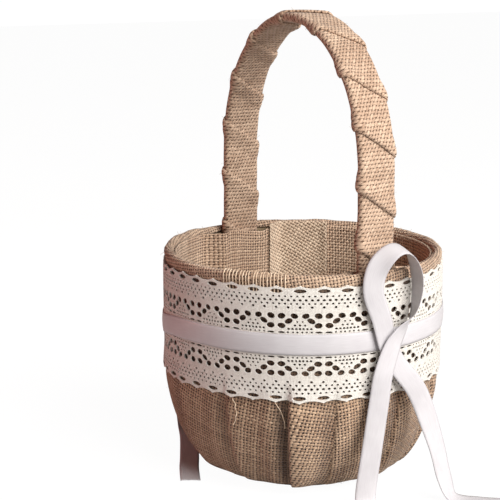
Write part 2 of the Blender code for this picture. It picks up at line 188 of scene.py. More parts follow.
# How far the cloth is turned between one pleat and the next, in degrees.
TURNS = [14, -8, -12, -9, -14, 9, 13, -12, 15, 6, -10, 12, -6]


def upper_radius(height):
    """The bowl's outside above the belly, leaning in a little."""
    share = (min(max(height, BELLY_HEIGHT), WALL_TOP) - BELLY_HEIGHT) / (WALL_TOP - BELLY_HEIGHT)
    return BELLY_RADIUS - 1.0 * MM * share**2


def bowl_curve(inset, top, from_share=0.0, steps=34):
    """The bowl's outline from its flat base up to a height, moved in by inset: a quarter of
    an ellipse to the belly, then the wall. Points are (radius, height, length along it)."""
    across = BELLY_RADIUS - BASE_RADIUS
    up = BELLY_HEIGHT - COVER_BOTTOM
    points = []
    for step in range(steps):
        turn = math.pi / 2 * (from_share + (1 - from_share) * step / steps)
        normal = Vector((up * math.sin(turn), -across * math.cos(turn))).normalized()
        radius = BASE_RADIUS + across * math.sin(turn) - normal.x * inset
        points.append((radius, COVER_BOTTOM + up * (1 - math.cos(turn)) - normal.y * inset))
    rise = top - BELLY_HEIGHT
    count = max(3, round(rise / (2.2 * MM)))
    for step in range(count + 1):
        height = BELLY_HEIGHT + rise * step / count
        points.append((upper_radius(height) - inset, height))
    return points


def ease(share):
    share = min(max(share, 0.0), 1.0)
    return share * share * (3 - 2 * share)


def off_angle(angle, centre):
    """How far one angle is past another, the short way round."""
    return (angle - centre + math.pi) % math.tau - math.pi


def pleat_swell(angle, height):
    """How far the cloth stands off the bowl, and how far it is drawn to the left by a
    leaning fold, at a place on the outside. Both in metres."""
    out = 0.0
    drawn = 0.0
    fade = ease(height / (9 * MM)) * (1 - 0.75 * ease((height - 46 * MM) / (16 * MM)))
    fade *= 1 - ease((height - 62 * MM) / (12 * MM))
    for centre, rise, lean in PLEATS:
        along = off_angle(angle, math.radians(centre)) * 62
        if -20 < along < 30:
            fold = ease((along + 1.4) / 2.6) if along < 1.2 else math.exp(-((along - 1.2) / 9.5) ** 2)
            before = 0.4 * math.exp(-((along + 9) / 4.5) ** 2)
            crest = math.exp(-((along - 1.2) / 2.2) ** 2)
            out += rise * (fold + before) * fade
            drawn += lean * rise * crest * fade
    lump = noise.noise(Vector((math.cos(angle) * 2.4, math.sin(angle) * 2.4, height * 55)))
    out += (0.35 + 0.45 * lump) * ease(height / (7 * MM)) * (1 - ease((height - 44 * MM) / (12 * MM)))
    # The left side sags out near the foot.
    sag = math.exp(-((off_angle(angle, math.radians(-124)) / 0.62) ** 2))
    out += 0.5 * sag * math.exp(-((height - 24 * MM) / (17 * MM)) ** 2)
    return out * MM, drawn * MM


def pleat_shade_share(angle, height):
    """How much shade is painted into the bottom of a pleat, for the light that the folded cloth keeps off,
    from 0 to 1.
    """
    fade = ease(height / (14 * MM)) * (1 - 0.5 * ease((height - 46 * MM) / (16 * MM)))
    depth = 0.0
    for centre, rise, _ in PLEATS:
        along = off_angle(angle, math.radians(centre)) * 62
        depth = max(depth, min(rise / 4, 1) * math.exp(-((along + 3.6) / 3.6) ** 2))
    return depth * fade


def lay_mesh(name, points, left, right, closed_rows=False, closed_columns=True):
    """A mesh of quads from rows of points, each quad with its own flat place in the cloth:
    left and right hold it for the two sides of each column. Faces turn outwards."""
    rows, columns = points.shape[:2]
    mesh = bpy.data.meshes.new(name)
    last_row = rows if closed_rows else rows - 1
    last_column = columns if closed_columns else columns - 1
    row, column = np.meshgrid(np.arange(last_row), np.arange(last_column), indexing="ij")
    next_row = (row + 1) % rows
    next_column = (column + 1) % columns
    corners = [row * columns + column, row * columns + next_column,
               next_row * columns + next_column, next_row * columns + column]
    faces = np.stack(corners, -1).reshape(-1, 4)
    upper = row + 1
    places = np.stack([left[row, column], right[row, column],
                       right[upper, column], left[upper, column]], 2).reshape(-1, 4, 2)
    spots = points.reshape(-1, 3)
    if closed_rows and closed_columns:
        a, b, c, d = (spots[faces[:, i]] for i in range(4))
        if (np.cross(c - a, d - b) * (a + b + c + d)).sum() < 0:
            faces = faces[:, ::-1]
            places = places[:, ::-1]
    mesh.from_pydata(spots.tolist(), [], faces.tolist())
    mesh.uv_layers.new(name="cloth").data.foreach_set("uv", places.reshape(-1).astype(np.float32))
    mesh.shade_smooth()
    mesh.update()
    return mesh


def add_piece(name, mesh, material):
    """Puts a finished mesh in the scene and rides it on the basket."""
    thing = bpy.data.objects.new(name, mesh)
    bpy.context.scene.collection.objects.link(thing)
    mesh.materials.clear()
    mesh.materials.append(material)
    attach(thing, "root")
    return thing


def plain_places(across, along):
    """Left and right flat places for a cloth whose threads follow its rows and columns."""
    flat = np.stack(np.meshgrid(along, across, indexing="ij")[::-1], -1)
    return flat[:, :-1], flat[:, 1:]


def outer_cover():
    angles = np.arange(COVER_COLUMNS) / COVER_COLUMNS * math.tau
    under = [(33 * MM + 8 * MM * step / 4, COVER_BOTTOM) for step in range(4)]
    outside = [*under, *bowl_curve(0, WALL_TOP, steps=44)]
    inside = bowl_curve(COVER_THICKNESS, WALL_TOP, steps=10)[::-1]
    inside.append((33 * MM, COVER_BOTTOM + COVER_THICKNESS))
    rows = len(outside) + len(inside)
    points = np.zeros((rows, COVER_COLUMNS, 3))
    radii = np.zeros(rows)
    lengths = np.zeros(rows + 1)
    profile = [*outside, *inside]
    for row, (radius, height) in enumerate(profile):
        radii[row] = radius
        before = profile[row - 1] if row else profile[0]
        lengths[row] = lengths[row - 1] + math.dist(before, (radius, height)) if row else 0
        slope = Vector((1, 0))
        if len(under) <= row < len(outside):
            ahead = outside[min(row + 1, len(outside) - 1)]
            slope = Vector((ahead[1] - outside[row - 1][1], outside[row - 1][0] - ahead[0])).normalized()
        for column, angle in enumerate(angles):
            out, drawn = pleat_swell(angle, height) if len(under) <= row < len(outside) else (0, 0)
            turned = angle - drawn / radius
            away = radius + out * slope.x
            points[row, column] = (away * math.cos(turned), away * math.sin(turned), height + out * slope.y)
    lengths[rows] = lengths[rows - 1] + COVER_THICKNESS
    radii = np.append(radii, radii[0])
    left = np.zeros((rows + 1, COVER_COLUMNS, 2))
    right = np.zeros((rows + 1, COVER_COLUMNS, 2))
    centres = [math.radians(centre) for centre, _, _ in PLEATS]
    for column in range(COVER_COLUMNS):
        middle = (column + 0.5) / COVER_COLUMNS * math.tau
        past = [(middle - centre) % math.tau for centre in centres]
        sector = past.index(min(past))
        gap = (centres[(sector + 1) % len(centres)] - centres[sector]) % math.tau
        turn = math.radians(TURNS[sector])
        for side, store in ((0, left), (1, right)):
            share = (column + side) / COVER_COLUMNS * math.tau
            aside = off_angle(share, centres[sector] + gap / 2) * radii
            store[:, column, 0] = aside * math.cos(turn) + lengths * math.sin(turn) + 0.037 * sector
            store[:, column, 1] = lengths * math.cos(turn) - aside * math.sin(turn) + 0.011 * sector
    mesh = lay_mesh("outer_cover_cloth", points, left, right, closed_rows=True)
    # Painted shade: how far the burlap's colour is darkened down in each pleat, kept on the mesh.
    pleat_shades = [pleat_shade_share(angle, height) for _, height in profile for angle in angles]
    mesh.attributes.new("pleat_shade", "FLOAT", "POINT").data.foreach_set("value", pleat_shades)
    return mesh


def jute_weave():
    """Plain weave of thick and thin jute threads, over and under, with open gaps. The gaps, and the flanks
    where a thread dips under its neighbour, take the gap colour as painted shade. Puts out its colour and
    its height, from a flat place in the cloth in metres."""
    tree = bpy.data.node_groups.new("jute weave", "ShaderNodeTree")
    for name, kind in (("Cloth Place", "Vector"), ("Thread Pitch", "Float"), ("Light Thread", "Color"),
                       ("Dark Thread", "Color"), ("Gap Shade", "Color"), ("Thread Width", "Float")):
        tree.interface.new_socket(name, in_out="INPUT", socket_type=f"NodeSocket{kind}")
    tree.interface.new_socket("Colour", in_out="OUTPUT", socket_type="NodeSocketColor")
    tree.interface.new_socket("Height", in_out="OUTPUT", socket_type="NodeSocketFloat")
    given = tree.nodes.new("NodeGroupInput").outputs
    result = tree.nodes.new("NodeGroupOutput").inputs
    place = given["Cloth Place"]
    # Threads wander a little from straight.
    for scale, reach in ((38, 0.0016), (240, 0.0007)):
        drift = speckle(tree, place, scale, 2.0).outputs["Color"]
        drift = node(tree, "ShaderNodeVectorMath", {0: drift, 1: (0.5, 0.5, 0.5)}, operation="SUBTRACT")
        drift = node(tree, "ShaderNodeVectorMath", {0: drift.outputs[0], "Scale": reach}, operation="SCALE")
        moved = node(tree, "ShaderNodeVectorMath", {0: place, 1: drift.outputs[0]}, operation="ADD")
        place = moved.outputs[0]
    finer = sums(tree, "DIVIDE", 1.0, given["Thread Pitch"])
    scaled = node(tree, "ShaderNodeVectorMath", {0: place, "Scale": finer}, operation="SCALE").outputs[0]
    axes = node(tree, "ShaderNodeSeparateXYZ", {0: scaled}).outputs
    cells = [sums(tree, "FLOOR", axes[i]) for i in (0, 1)]
    heights = []
    tones = []
    for i in (0, 1):
        other = 1 - i
        within = sums(tree, "FRACT", axes[i])
        off_middle = sums(tree, "ABSOLUTE", sums(tree, "SUBTRACT", within, 0.5))
        pick = node(tree, "ShaderNodeTexWhiteNoise", {"W": sums(tree, "ADD", cells[i], 31.7 * i)},
                    noise_dimensions="1D").outputs["Value"]
        streak_place = [0, 0, 0]
        streak_place[i] = sums(tree, "MULTIPLY", axes[i], 5.0)
        streak_place[other] = sums(tree, "MULTIPLY", axes[other], 0.55)
        streaks = node(tree, "ShaderNodeCombineXYZ", {0: streak_place[0], 1: streak_place[1]}).outputs[0]
        fibre = speckle(tree, streaks, 1.0, 3.0, 0.7).outputs[0]
        slub_axes = {0: sums(tree, "MULTIPLY", cells[i], 9.17), 1: sums(tree, "MULTIPLY", axes[other], 0.3)}
        slub_place = node(tree, "ShaderNodeCombineXYZ", slub_axes).outputs[0]
        slub = speckle(tree, slub_place, 1.0, 1.0).outputs[0]
        width = sums(tree, "ADD", given["Thread Width"], spread(tree, pick, 0, 1, -0.035, 0.035))
        width = sums(tree, "ADD", width, spread(tree, slub, 0.25, 0.75, -0.06, 0.06))
        edge_in = sums(tree, "SUBTRACT", width, 0.11)
        edge_out = sums(tree, "ADD", width, 0.06)
        there = spread(tree, off_middle, edge_out, edge_in, kind="SMOOTHSTEP")
        round_share = sums(tree, "DIVIDE", off_middle, width)
        roundness = sums(tree, "SUBTRACT", 1.0, sums(tree, "MULTIPLY", round_share, round_share))
        # Over one thread and under the next, each row the other way from the last.
        flip = sums(tree, "MULTIPLY_ADD", sums(tree, "FLOORED_MODULO", cells[i], 2.0), -2.0, 1.0)
        wave = sums(tree, "SINE", sums(tree, "MULTIPLY", axes[other], math.pi))
        wave = sums(tree, "MULTIPLY", wave, flip)
        if i:
            wave = sums(tree, "MULTIPLY", wave, -1.0)
        height = sums(tree, "MULTIPLY_ADD", wave, 0.36, 0.5)
        height = sums(tree, "MULTIPLY_ADD", roundness, 0.2, height)
        heights.append(sums(tree, "MULTIPLY", height, there))
        by_thread = sums(tree, "MULTIPLY", pick, 0.25)
        tones.append(sums(tree, "ADD", by_thread, sums(tree, "MULTIPLY", fibre, 0.9)))
    top = sums(tree, "MAXIMUM", *heights)
    first_on_top = sums(tree, "GREATER_THAN", *heights)
    tone = node(tree, "ShaderNodeMix", {0: first_on_top, 2: tones[1], 3: tones[0]}).outputs[0]
    blotch = speckle(tree, given["Cloth Place"], 26, 3.0).outputs[0]
    tone = sums(tree, "ADD", tone, spread(tree, blotch, 0.3, 0.7, -0.14, 0.14))
    colour = blend(tree, spread(tree, tone, 0.3, 0.85), given["Dark Thread"], given["Light Thread"])
    # Painted shade: low places in the weave, between the threads and where they dip under, fade to the gap
    # colour.
    colour = blend(tree, spread(tree, top, 0.22, 0.78, kind="SMOOTHSTEP"), given["Gap Shade"], colour)
    tree.links.new(colour, result["Colour"])
    tree.links.new(sums(tree, "MULTIPLY_ADD", tone, 0.12, top), result["Height"])
    return tree


weave = jute_weave()


def burlap(name, light, dark, pitch=1.62 * MM, width=0.35, gap=(0.040, 0.016, 0.009), deep=0.0008,
           behind=None):
    """Burlap in one shade. Painted shade darkens it between the two heights where it lies behind the lace,
    and down in its creases; its gap colour is painted shade between the threads."""
    material, tree, shader = new_finish(name, 0.9, Sheen_Weight=0.15, Sheen_Roughness=0.6,
                                        Specular_IOR_Level=0.15)
    inputs = {"Cloth Place": cloth_place(tree), "Thread Pitch": pitch, "Light Thread": (*light, 1),
              "Dark Thread": (*dark, 1), "Gap Shade": (*gap, 1), "Thread Width": width}
    threads = node(tree, "ShaderNodeGroup", node_tree=weave)
    for key, value in inputs.items():
        if isinstance(value, bpy.types.NodeSocket):
            tree.links.new(value, threads.inputs[key])
        else:
            threads.inputs[key].default_value = value
    colour = threads.outputs["Colour"]
    # Painted shade: between the two heights the colour is pulled towards near black where the lace keeps
    # the light off, and likewise down in the pleats that the mesh marks.
    if behind:
        height = node(tree, "ShaderNodeSeparateXYZ", {0: object_place(tree)}).outputs[2]
        above = spread(tree, height, behind[0], behind[0] + 2 * MM)
        below = spread(tree, height, behind[1], behind[1] - 1 * MM)
        painted_shade = sums(tree, "MULTIPLY", sums(tree, "MULTIPLY", above, below), 0.72)
        pleat_shade = node(tree, "ShaderNodeAttribute", attribute_name="pleat_shade").outputs["Fac"]
        painted_shade = sums(tree, "MAXIMUM", painted_shade, sums(tree, "MULTIPLY", pleat_shade, 0.78))
        colour = blend(tree, painted_shade, colour, (0.03, 0.013, 0.009, 1))
    tree.links.new(colour, shader.inputs["Base Color"])
    relief(tree, shader, threads.outputs["Height"], 0.9, deep)
    return material


# The cover's burlap has painted shade behind the lace and in its pleats.
outer_burlap = burlap("outer burlap", (0.68, 0.485, 0.33), (0.31, 0.18, 0.11), gap=(0.022, 0.009, 0.005),
                      behind=(53 * MM, 110 * MM))
cover = add_piece("outer_cover_cloth", outer_cover(), outer_burlap)
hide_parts("outer_cover")

# Base disc. A disc of burlap glued under the foot over the raw ends of the cover, its cut
# edge a little proud of the flat.

DISC_RADIUS = 42.5 * MM


def round_cloth(name, profile, columns=180, ragged=0.0):
    """A disc of cloth turned about Z from (radius, height) points, from the middle of its
    underside out to its edge and back in to the middle of its top."""
    shape = bmesh.new()
    bottom = shape.verts.new((0, 0, profile[0][1]))
    top = shape.verts.new((0, 0, profile[-1][1]))
    rings = []
    for radius, height in profile[1:-1]:
        ring = []
        for step in range(columns):
            angle = math.tau * step / columns
            wander = noise.noise(Vector((math.cos(angle) * 9, math.sin(angle) * 9, 3.1)))
            reach = radius * (1 + ragged * wander * (radius / profile[len(profile) // 2][0]) ** 6)
            ring.append(shape.verts.new((reach * math.cos(angle), reach * math.sin(angle), height)))
        rings.append(ring)
    for i in range(columns):
        j = (i + 1) % columns
        shape.faces.new((bottom, rings[0][j], rings[0][i]))
        shape.faces.new((top, rings[-1][i], rings[-1][j]))
        for low, high in zip(rings, rings[1:]):
            shape.faces.new((low[i], low[j], high[j], high[i]))
    bmesh.ops.recalc_face_normals(shape, faces=shape.faces)
    layer = shape.loops.layers.uv.new("cloth")
    for face in shape.faces:
        for loop in face.loops:
            loop[layer].uv = (loop.vert.co.x, loop.vert.co.y)
    mesh = bpy.data.meshes.new(name)
    shape.to_mesh(mesh)
    shape.free()
    mesh.shade_smooth()
    return mesh


base_profile = [(0, 0.0), (14 * MM, 0.0), (28 * MM, 0.0), (38 * MM, 0.0), (41.4 * MM, 0.1 * MM),
                (42.3 * MM, 0.35 * MM), (DISC_RADIUS, 0.65 * MM), (42.2 * MM, 1.0 * MM),
                (41.2 * MM, 1.2 * MM),
                (30 * MM, 1.2 * MM), (15 * MM, 1.2 * MM), (0, 1.2 * MM)]
base_burlap = burlap("base burlap", (0.50, 0.35, 0.24), (0.26, 0.155, 0.10))
base_disc = add_piece("base_disc_cloth", round_cloth("base_disc_cloth", base_profile, ragged=0.006),
                      base_burlap)
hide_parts("base_cover")

# Lining of the wall. Burlap glued to the inside of the bowl and carried over the two
# handle feet, so that each foot sits in a pocket. Its edge is cut just above the rim.

FOOT_HEIGHT = 74 * MM
POCKET_RADIUS = 56.7 * MM
LINING_INSET = 3.1 * MM
LINING_THICKNESS = 1.0 * MM
LINING_TOP = 110.5 * MM
LINING_COLUMNS = 480


def over_foot(angle, height):
    """How much the lining stands in over a foot, from 0 to 1."""
    off_foot = abs((angle + math.pi / 2) % math.pi - math.pi / 2)
    aside = ease((math.radians(23.3) - off_foot) / math.radians(10))
    return aside * ease((height - FOOT_HEIGHT + 10.3 * MM) / (10 * MM))


def lining_edge(angle):
    """Height of the lining's cut edge. Over the back foot it slopes down to one side."""
    across = math.sin(angle) * 58 / 10
    near = ease((math.radians(13.5) - abs(off_angle(angle, math.pi))) / math.radians(3))
    slope = 1.2 - 2.4 * ease((across + 1.1) / 2.2)
    return LINING_TOP + near * slope * MM


def lining_spot(angle, radius, height, inner):
    weight = over_foot(angle, height)
    pocket = POCKET_RADIUS - (LINING_THICKNESS if inner else 0)
    bent = radius * (1 - weight) + pocket * weight
    if inner:
        lump = noise.noise(Vector((math.cos(angle) * 3.2, math.sin(angle) * 3.2, height * 30 + 7)))
        panel = ease((math.radians(24) - abs(off_angle(angle, math.radians(150)))) / math.radians(6))
        bent -= max(0.0, lump + 0.15) * 1.1 * MM * (1 - panel) * ease((LINING_TOP - height) / (12 * MM))
    return bent


def lining_wall():
    angles = np.arange(LINING_COLUMNS) / LINING_COLUMNS * math.tau
    outside = bowl_curve(LINING_INSET, LINING_TOP, 1 / 6, 16)
    inside = bowl_curve(LINING_INSET + LINING_THICKNESS, LINING_TOP, 1 / 6, 24)[::-1]
    profile = [*outside, *inside]
    rows = len(profile)
    points = np.zeros((rows, LINING_COLUMNS, 3))
    lengths = np.zeros(rows + 1)
    for row, (radius, height) in enumerate(profile):
        if row:
            lengths[row] = lengths[row - 1] + math.dist(profile[row - 1], profile[row])
        for column, angle in enumerate(angles):
            edge = lining_edge(angle)
            level = height
            if height > 84 * MM:
                level = 84 * MM + (height - 84 * MM) * (edge - 84 * MM) / (LINING_TOP - 84 * MM)
            reach = lining_spot(angle, radius, level, row >= len(outside))
            points[row, column] = (reach * math.cos(angle), reach * math.sin(angle), level)
    lengths[rows] = lengths[rows - 1] + LINING_THICKNESS
    around = np.arange(LINING_COLUMNS + 1) / LINING_COLUMNS * math.tau * 64 * MM
    left, right = plain_places(around, lengths)
    return lay_mesh("lining_wall_cloth", points, left, right, closed_rows=True)


lining_burlap = burlap("lining burlap", (0.80, 0.60, 0.44), (0.44, 0.28, 0.185), width=0.38,
                       gap=(0.07, 0.035, 0.02))
lining = add_piece("lining_wall_cloth", lining_wall(), lining_burlap)
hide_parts("lining_wall")

# Lining of the floor. A disc of the same burlap laid on the board, its edge pushed a
# little way up where it meets the wall.

floor_profile = [(0, 6.9 * MM), (15 * MM, 6.9 * MM), (30 * MM, 6.9 * MM), (42 * MM, 6.9 * MM),
                 (44.6 * MM, 7.2 * MM), (45.0 * MM, 7.7 * MM), (44.5 * MM, 8.2 * MM), (42.6 * MM, 8.1 * MM),
                 (40 * MM, 7.9 * MM), (28 * MM, 7.9 * MM), (14 * MM, 7.9 * MM), (0, 7.9 * MM)]
floor_disc = round_cloth("lining_floor_cloth", floor_profile, ragged=0.004)
floor_cloth = add_piece("lining_floor_cloth", floor_disc, lining_burlap)
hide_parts("lining_floor")

# Handle wrap. One strip of burlap wound round the core from the left foot over the top to
# the right foot. Each turn lies on the edge of the next, and its free edge is folded under.

HALF_SPAN = 61.2 * MM
SPRING_HEIGHT = 155 * MM
ARCH_RISE = 71.7 * MM
SECTION_WIDTH = 18.6 * MM
SECTION_DEPTH = 3.0 * MM
SECTION_CORNER = 1.4 * MM
STRIP_THICKNESS = 0.75 * MM
STRIP_OVERLAP = 7.0 * MM
# Where each turn's free edge crosses the middle of the outer face, along the handle.
TURN_EDGES = [-5, 22, 49.5, 77, 103.5, 131, 158, 188, 219, 248.4, 274.1, 302.7, 330, 357, 384]


def arch_table(steps=1600):
    """Points and outward normals along the handle's line in XZ, with the length so far."""
    line = [(-HALF_SPAN, FOOT_HEIGHT + (SPRING_HEIGHT - FOOT_HEIGHT) * i / 200) for i in range(200)]
    for i in range(steps + 1):
        turn = math.pi * i / steps
        line.append((-HALF_SPAN * math.cos(turn), SPRING_HEIGHT + ARCH_RISE * math.sin(turn)))
    line += [(-x, z) for x, z in reversed(line[:200])]
    line = np.array(line)
    way = np.gradient(line, axis=0)
    way /= np.hypot(way[:, 0], way[:, 1])[:, None]
    length = np.append(0, np.cumsum(np.hypot(*np.diff(line, axis=0).T)))
    return line, np.stack([-way[:, 1], way[:, 0]], 1), length


arch_line, arch_out, arch_length = arch_table()
HANDLE_LENGTH = arch_length[-1]


def section_table(count=64):
    """Points and normals round the core's section, as (out, aside), from the middle of the
    outer face towards +Y. The corners are rounded."""
    half_out = SECTION_DEPTH / 2 - SECTION_CORNER
    half_aside = SECTION_WIDTH / 2 - SECTION_CORNER
    ring = []
    for quarter, (out, aside) in enumerate(((1, 1), (-1, 1), (-1, -1), (1, -1))):
        for step in range(9):
            turn = math.pi / 2 * (quarter + step / 8)
            normal = (math.cos(turn), math.sin(turn))
            ring.append((out * half_out + normal[0] * SECTION_CORNER,
                         aside * half_aside + normal[1] * SECTION_CORNER, *normal))
    ring = np.array([((SECTION_DEPTH / 2), 0, 1, 0), *ring, (SECTION_DEPTH / 2, 0, 1, 0)])
    length = np.append(0, np.cumsum(np.hypot(*np.diff(ring[:, :2], axis=0).T)))
    share = np.linspace(0, length[-1], count + 1)
    return np.stack([np.interp(share, length, ring[:, i]) for i in range(4)], 1), length[-1]


SECTION_COUNT = 64
section, SECTION_GIRTH = section_table(SECTION_COUNT)


def handle_wrap():
    turns = len(TURN_EDGES) - 1
    along_steps = turns * SECTION_COUNT
    across_steps = 22
    edges = np.interp(np.arange(along_steps + 1) / SECTION_COUNT, range(len(TURN_EDGES)), TURN_EDGES) * MM
    points = []
    places = []
    for step in range(along_steps + 1):
        free_edge = edges[step]
        behind = np.interp(step / SECTION_COUNT - 1, range(len(TURN_EDGES)), TURN_EDGES) * MM
        if step < SECTION_COUNT:
            behind = free_edge - 27 * MM
        hidden_edge = behind - STRIP_OVERLAP
        out, aside, normal_out, normal_aside = section[step % SECTION_COUNT]
        row = []
        place = []
        for layer in (0, 1):
            order = range(across_steps + 1) if layer == 0 else range(across_steps, -1, -1)
            for j in order:
                share = j / across_steps
                length = hidden_edge + (free_edge - hidden_edge) * share
                to_free = (free_edge - length) / MM
                lift = 1.15 * STRIP_THICKNESS * ease((STRIP_OVERLAP / MM + 3.5 - to_free) / 5)
                fold = 0.35 * MM * ease((4.2 - to_free) / 1.2)
                wave = noise.noise(Vector((step * 0.045, share * 3, 2.2))) * 0.3 * MM
                stand = lift + (fold + wave * (1 - share * 0.4) * ease(to_free / 3) + STRIP_THICKNESS
                                if layer == 0 else 0.0)
                if layer == 0:
                    stand -= 0.5 * MM * ease((0.6 - to_free) / 0.6)
                wobble = noise.noise(Vector((step * 0.11, 5.0, 1.0))) * 0.35 * MM * share
                spot = min(max(length + wobble, 0), HANDLE_LENGTH)
                x = np.interp(spot, arch_length, arch_line[:, 0])
                z = np.interp(spot, arch_length, arch_line[:, 1])
                ox = np.interp(spot, arch_length, arch_out[:, 0])
                oz = np.interp(spot, arch_length, arch_out[:, 1])
                away = out + normal_out * stand
                row.append((x + ox * away, aside + normal_aside * stand, z + oz * away))
                place.append((length * 0.87, step / SECTION_COUNT * math.hypot(SECTION_GIRTH, 27 * MM)
                              + (length - free_edge) * 0.5))
        points.append(row)
        places.append([*place, place[0]])
    points = np.array(points)
    places = np.array(places)
    mesh = lay_mesh("handle_wrap_cloth", points, places[:, :-1], places[:, 1:], closed_rows=False)
    shape = bmesh.new()
    shape.from_mesh(mesh)
    bmesh.ops.holes_fill(shape, edges=[edge for edge in shape.edges if edge.is_boundary], sides=0)
    # Past the ends of the handle the strip has no length left, so its flat faces go.
    bmesh.ops.dissolve_degenerate(shape, edges=shape.edges, dist=0.00001)
    bmesh.ops.recalc_face_normals(shape, faces=shape.faces)
    shape.to_mesh(mesh)
    shape.free()
    return mesh


wrap_burlap = burlap("handle burlap", (0.68, 0.50, 0.365), (0.38, 0.24, 0.16), width=0.38,
                     gap=(0.15, 0.085, 0.052), deep=0.0006)
wrap = add_piece("handle_wrap_cloth", handle_wrap(), wrap_burlap)
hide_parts("handle_wrap")

# Back panel. A loose piece of lining that laps over the rest at the back, from the belly
# to just above the rim. Its right edge is the cloth's pale selvedge.

PANEL_FROM = math.radians(134.5)
PANEL_TO = math.radians(165.5)
PANEL_COLUMNS = 60
PANEL_ROWS = 44


def panel_cloth():
    points = np.zeros((2 * PANEL_ROWS, PANEL_COLUMNS, 3))
    angles = np.linspace(PANEL_FROM, PANEL_TO, PANEL_COLUMNS)
    levels = np.linspace(60.4 * MM, 113 * MM, PANEL_ROWS)
    for row in range(2 * PANEL_ROWS):
        near = row < PANEL_ROWS
        level = levels[row] if near else levels[2 * PANEL_ROWS - 1 - row]
        for column, angle in enumerate(angles):
            base = upper_radius(level) - LINING_INSET - LINING_THICKNESS
            weight = over_foot(angle, level)
            face = base * (1 - weight) + (POCKET_RADIUS - LINING_THICKNESS) * weight
            gap = 0.3 * MM if near else 1.1 * MM
            curl = 0.9 * MM * ease((PANEL_FROM + 0.08 - angle) / 0.08) * ease((level - 70 * MM) / (30 * MM))
            bulge = 0.8 * MM * math.sin(math.pi * (angle - PANEL_FROM) / (PANEL_TO - PANEL_FROM))
            reach = face - gap - curl - bulge * ease((level - 60 * MM) / (20 * MM))
            points[row, column] = (reach * math.cos(angle), reach * math.sin(angle), level)
    turn = math.radians(32)
    across = (angles - PANEL_FROM) * 63 * MM
    up = np.append(levels, levels[::-1])
    up = np.append(up, up[0])
    flat = np.zeros((2 * PANEL_ROWS + 1, PANEL_COLUMNS, 2))
    flat[..., 0] = across[None] * math.cos(turn) + up[:, None] * math.sin(turn)
    flat[..., 1] = up[:, None] * math.cos(turn) - across[None] * math.sin(turn)
    mesh = lay_mesh("back_panel_cloth", points, flat[:, :-1], flat[:, 1:], closed_rows=True,
                    closed_columns=False)
    shape = bmesh.new()
    shape.from_mesh(mesh)
    bmesh.ops.holes_fill(shape, edges=[edge for edge in shape.edges if edge.is_boundary], sides=0)
    bmesh.ops.recalc_face_normals(shape, faces=shape.faces)
    shape.to_mesh(mesh)
    shape.free()
    return mesh


panel_burlap = burlap("panel burlap", (0.80, 0.64, 0.48), (0.52, 0.37, 0.26), width=0.4,
                      gap=(0.18, 0.105, 0.06))
panel = add_piece("back_panel_cloth", panel_cloth(), panel_burlap)
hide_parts("lining_overlap")

# Rim strip. A strip of burlap folded over the top of the wall and glued, cut on the slant.
# Its ends lap at the front, where the top layer has lost some of its cross threads.

RIM_COLUMNS = 600
RIM_SECTION = [
    (69.35, 103.2), (69.45, 105.5), (69.55, 107.6), (69.75, 109.0), (69.95, 110.3), (69.8, 111.5),
    (69.1, 112.4), (68.0, 112.8), (66.9, 112.6), (65.9, 112.0), (65.35, 111.1), (65.25, 110.2),
    (65.3, 109.45), (66.6, 109.35), (68.0, 109.35), (68.45, 108.6), (68.5, 106.0), (68.6, 103.2),
]
LAP_FROM = math.radians(-65.8)
LAP_TO = math.radians(-39.2)


def lap_cover(angle):
    """1 where the strip's top end lies over its lower end."""
    inside = min(off_angle(angle, LAP_FROM), -off_angle(angle, LAP_TO))
    return ease(inside / 0.012 + 0.5)


def rim_strip():
    angles = np.arange(RIM_COLUMNS) / RIM_COLUMNS * math.tau
    count = len(RIM_SECTION)
    points = np.zeros((count, RIM_COLUMNS, 3))
    middle = (67.4, 109.6)
    lengths = np.zeros(count + 1)
    for row, (radius, height) in enumerate(RIM_SECTION):
        if row:
            lengths[row] = lengths[row - 1] + math.dist(RIM_SECTION[row - 1], RIM_SECTION[row]) * MM
        for column, angle in enumerate(angles):
            round_place = Vector((math.cos(angle) * 5.5, math.sin(angle) * 5.5, row * 0.12))
            lump = noise.noise(round_place) * 0.7 + noise.noise(round_place * 3.1) * 0.25
            free = ease((height - 107.5) / 2) * ease((radius - 65.4) / 1.5)
            puff = 1 + (0.10 * lump + 0.10 * lap_cover(angle)) * free
            off_foot = abs((angle + math.pi / 2) % math.pi - math.pi / 2)
            roll = ease((off_foot - 0.3) / 0.2)
            left_side = math.exp(-((off_angle(angle, math.radians(-140)) / 0.9) ** 2))
            puff += 0.10 * left_side * free * roll
            out = middle[0] + (radius - middle[0]) * puff
            up = middle[1] + (height - middle[1]) * puff + 0.5 * lump * free
            points[row, column] = (out * MM * math.cos(angle), out * MM * math.sin(angle), up * MM)
    lengths[count] = lengths[count - 1] + 0.7 * MM
    around = np.arange(RIM_COLUMNS + 1) / RIM_COLUMNS * math.tau * 68 * MM
    left, right = plain_places(around, lengths)
    turn = math.radians(4)
    for flat in (left, right):
        u = flat[..., 0].copy()
        flat[..., 0] = u * math.cos(turn) + flat[..., 1] * math.sin(turn)
        flat[..., 1] = flat[..., 1] * math.cos(turn) - u * math.sin(turn)
    return lay_mesh("rim_strip_cloth", points, left, right, closed_rows=True)


# The rim's burlap has painted shade where the top of the lace lies over it.
rim_burlap = burlap("rim burlap", (0.70, 0.52, 0.375), (0.37, 0.23, 0.15), width=0.37,
                    behind=(98 * MM, 107.6 * MM))
rim = add_piece("rim_strip_cloth", rim_strip(), rim_burlap)
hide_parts("rim_binding")

# Lace band. Machine-made cotton lace glued round the wall: a scalloped edge, a mesh of
# small holes and a row of flowers, the same from each edge to its middle.

LACE_REPEATS = 20
LACE_REPEAT = 22.3
LACE_HEIGHT = 56.0
LACE_BOTTOM = 52.3 * MM
LACE_THICKNESS = 0.75 * MM
LACE_SEAM = math.radians(190.7)

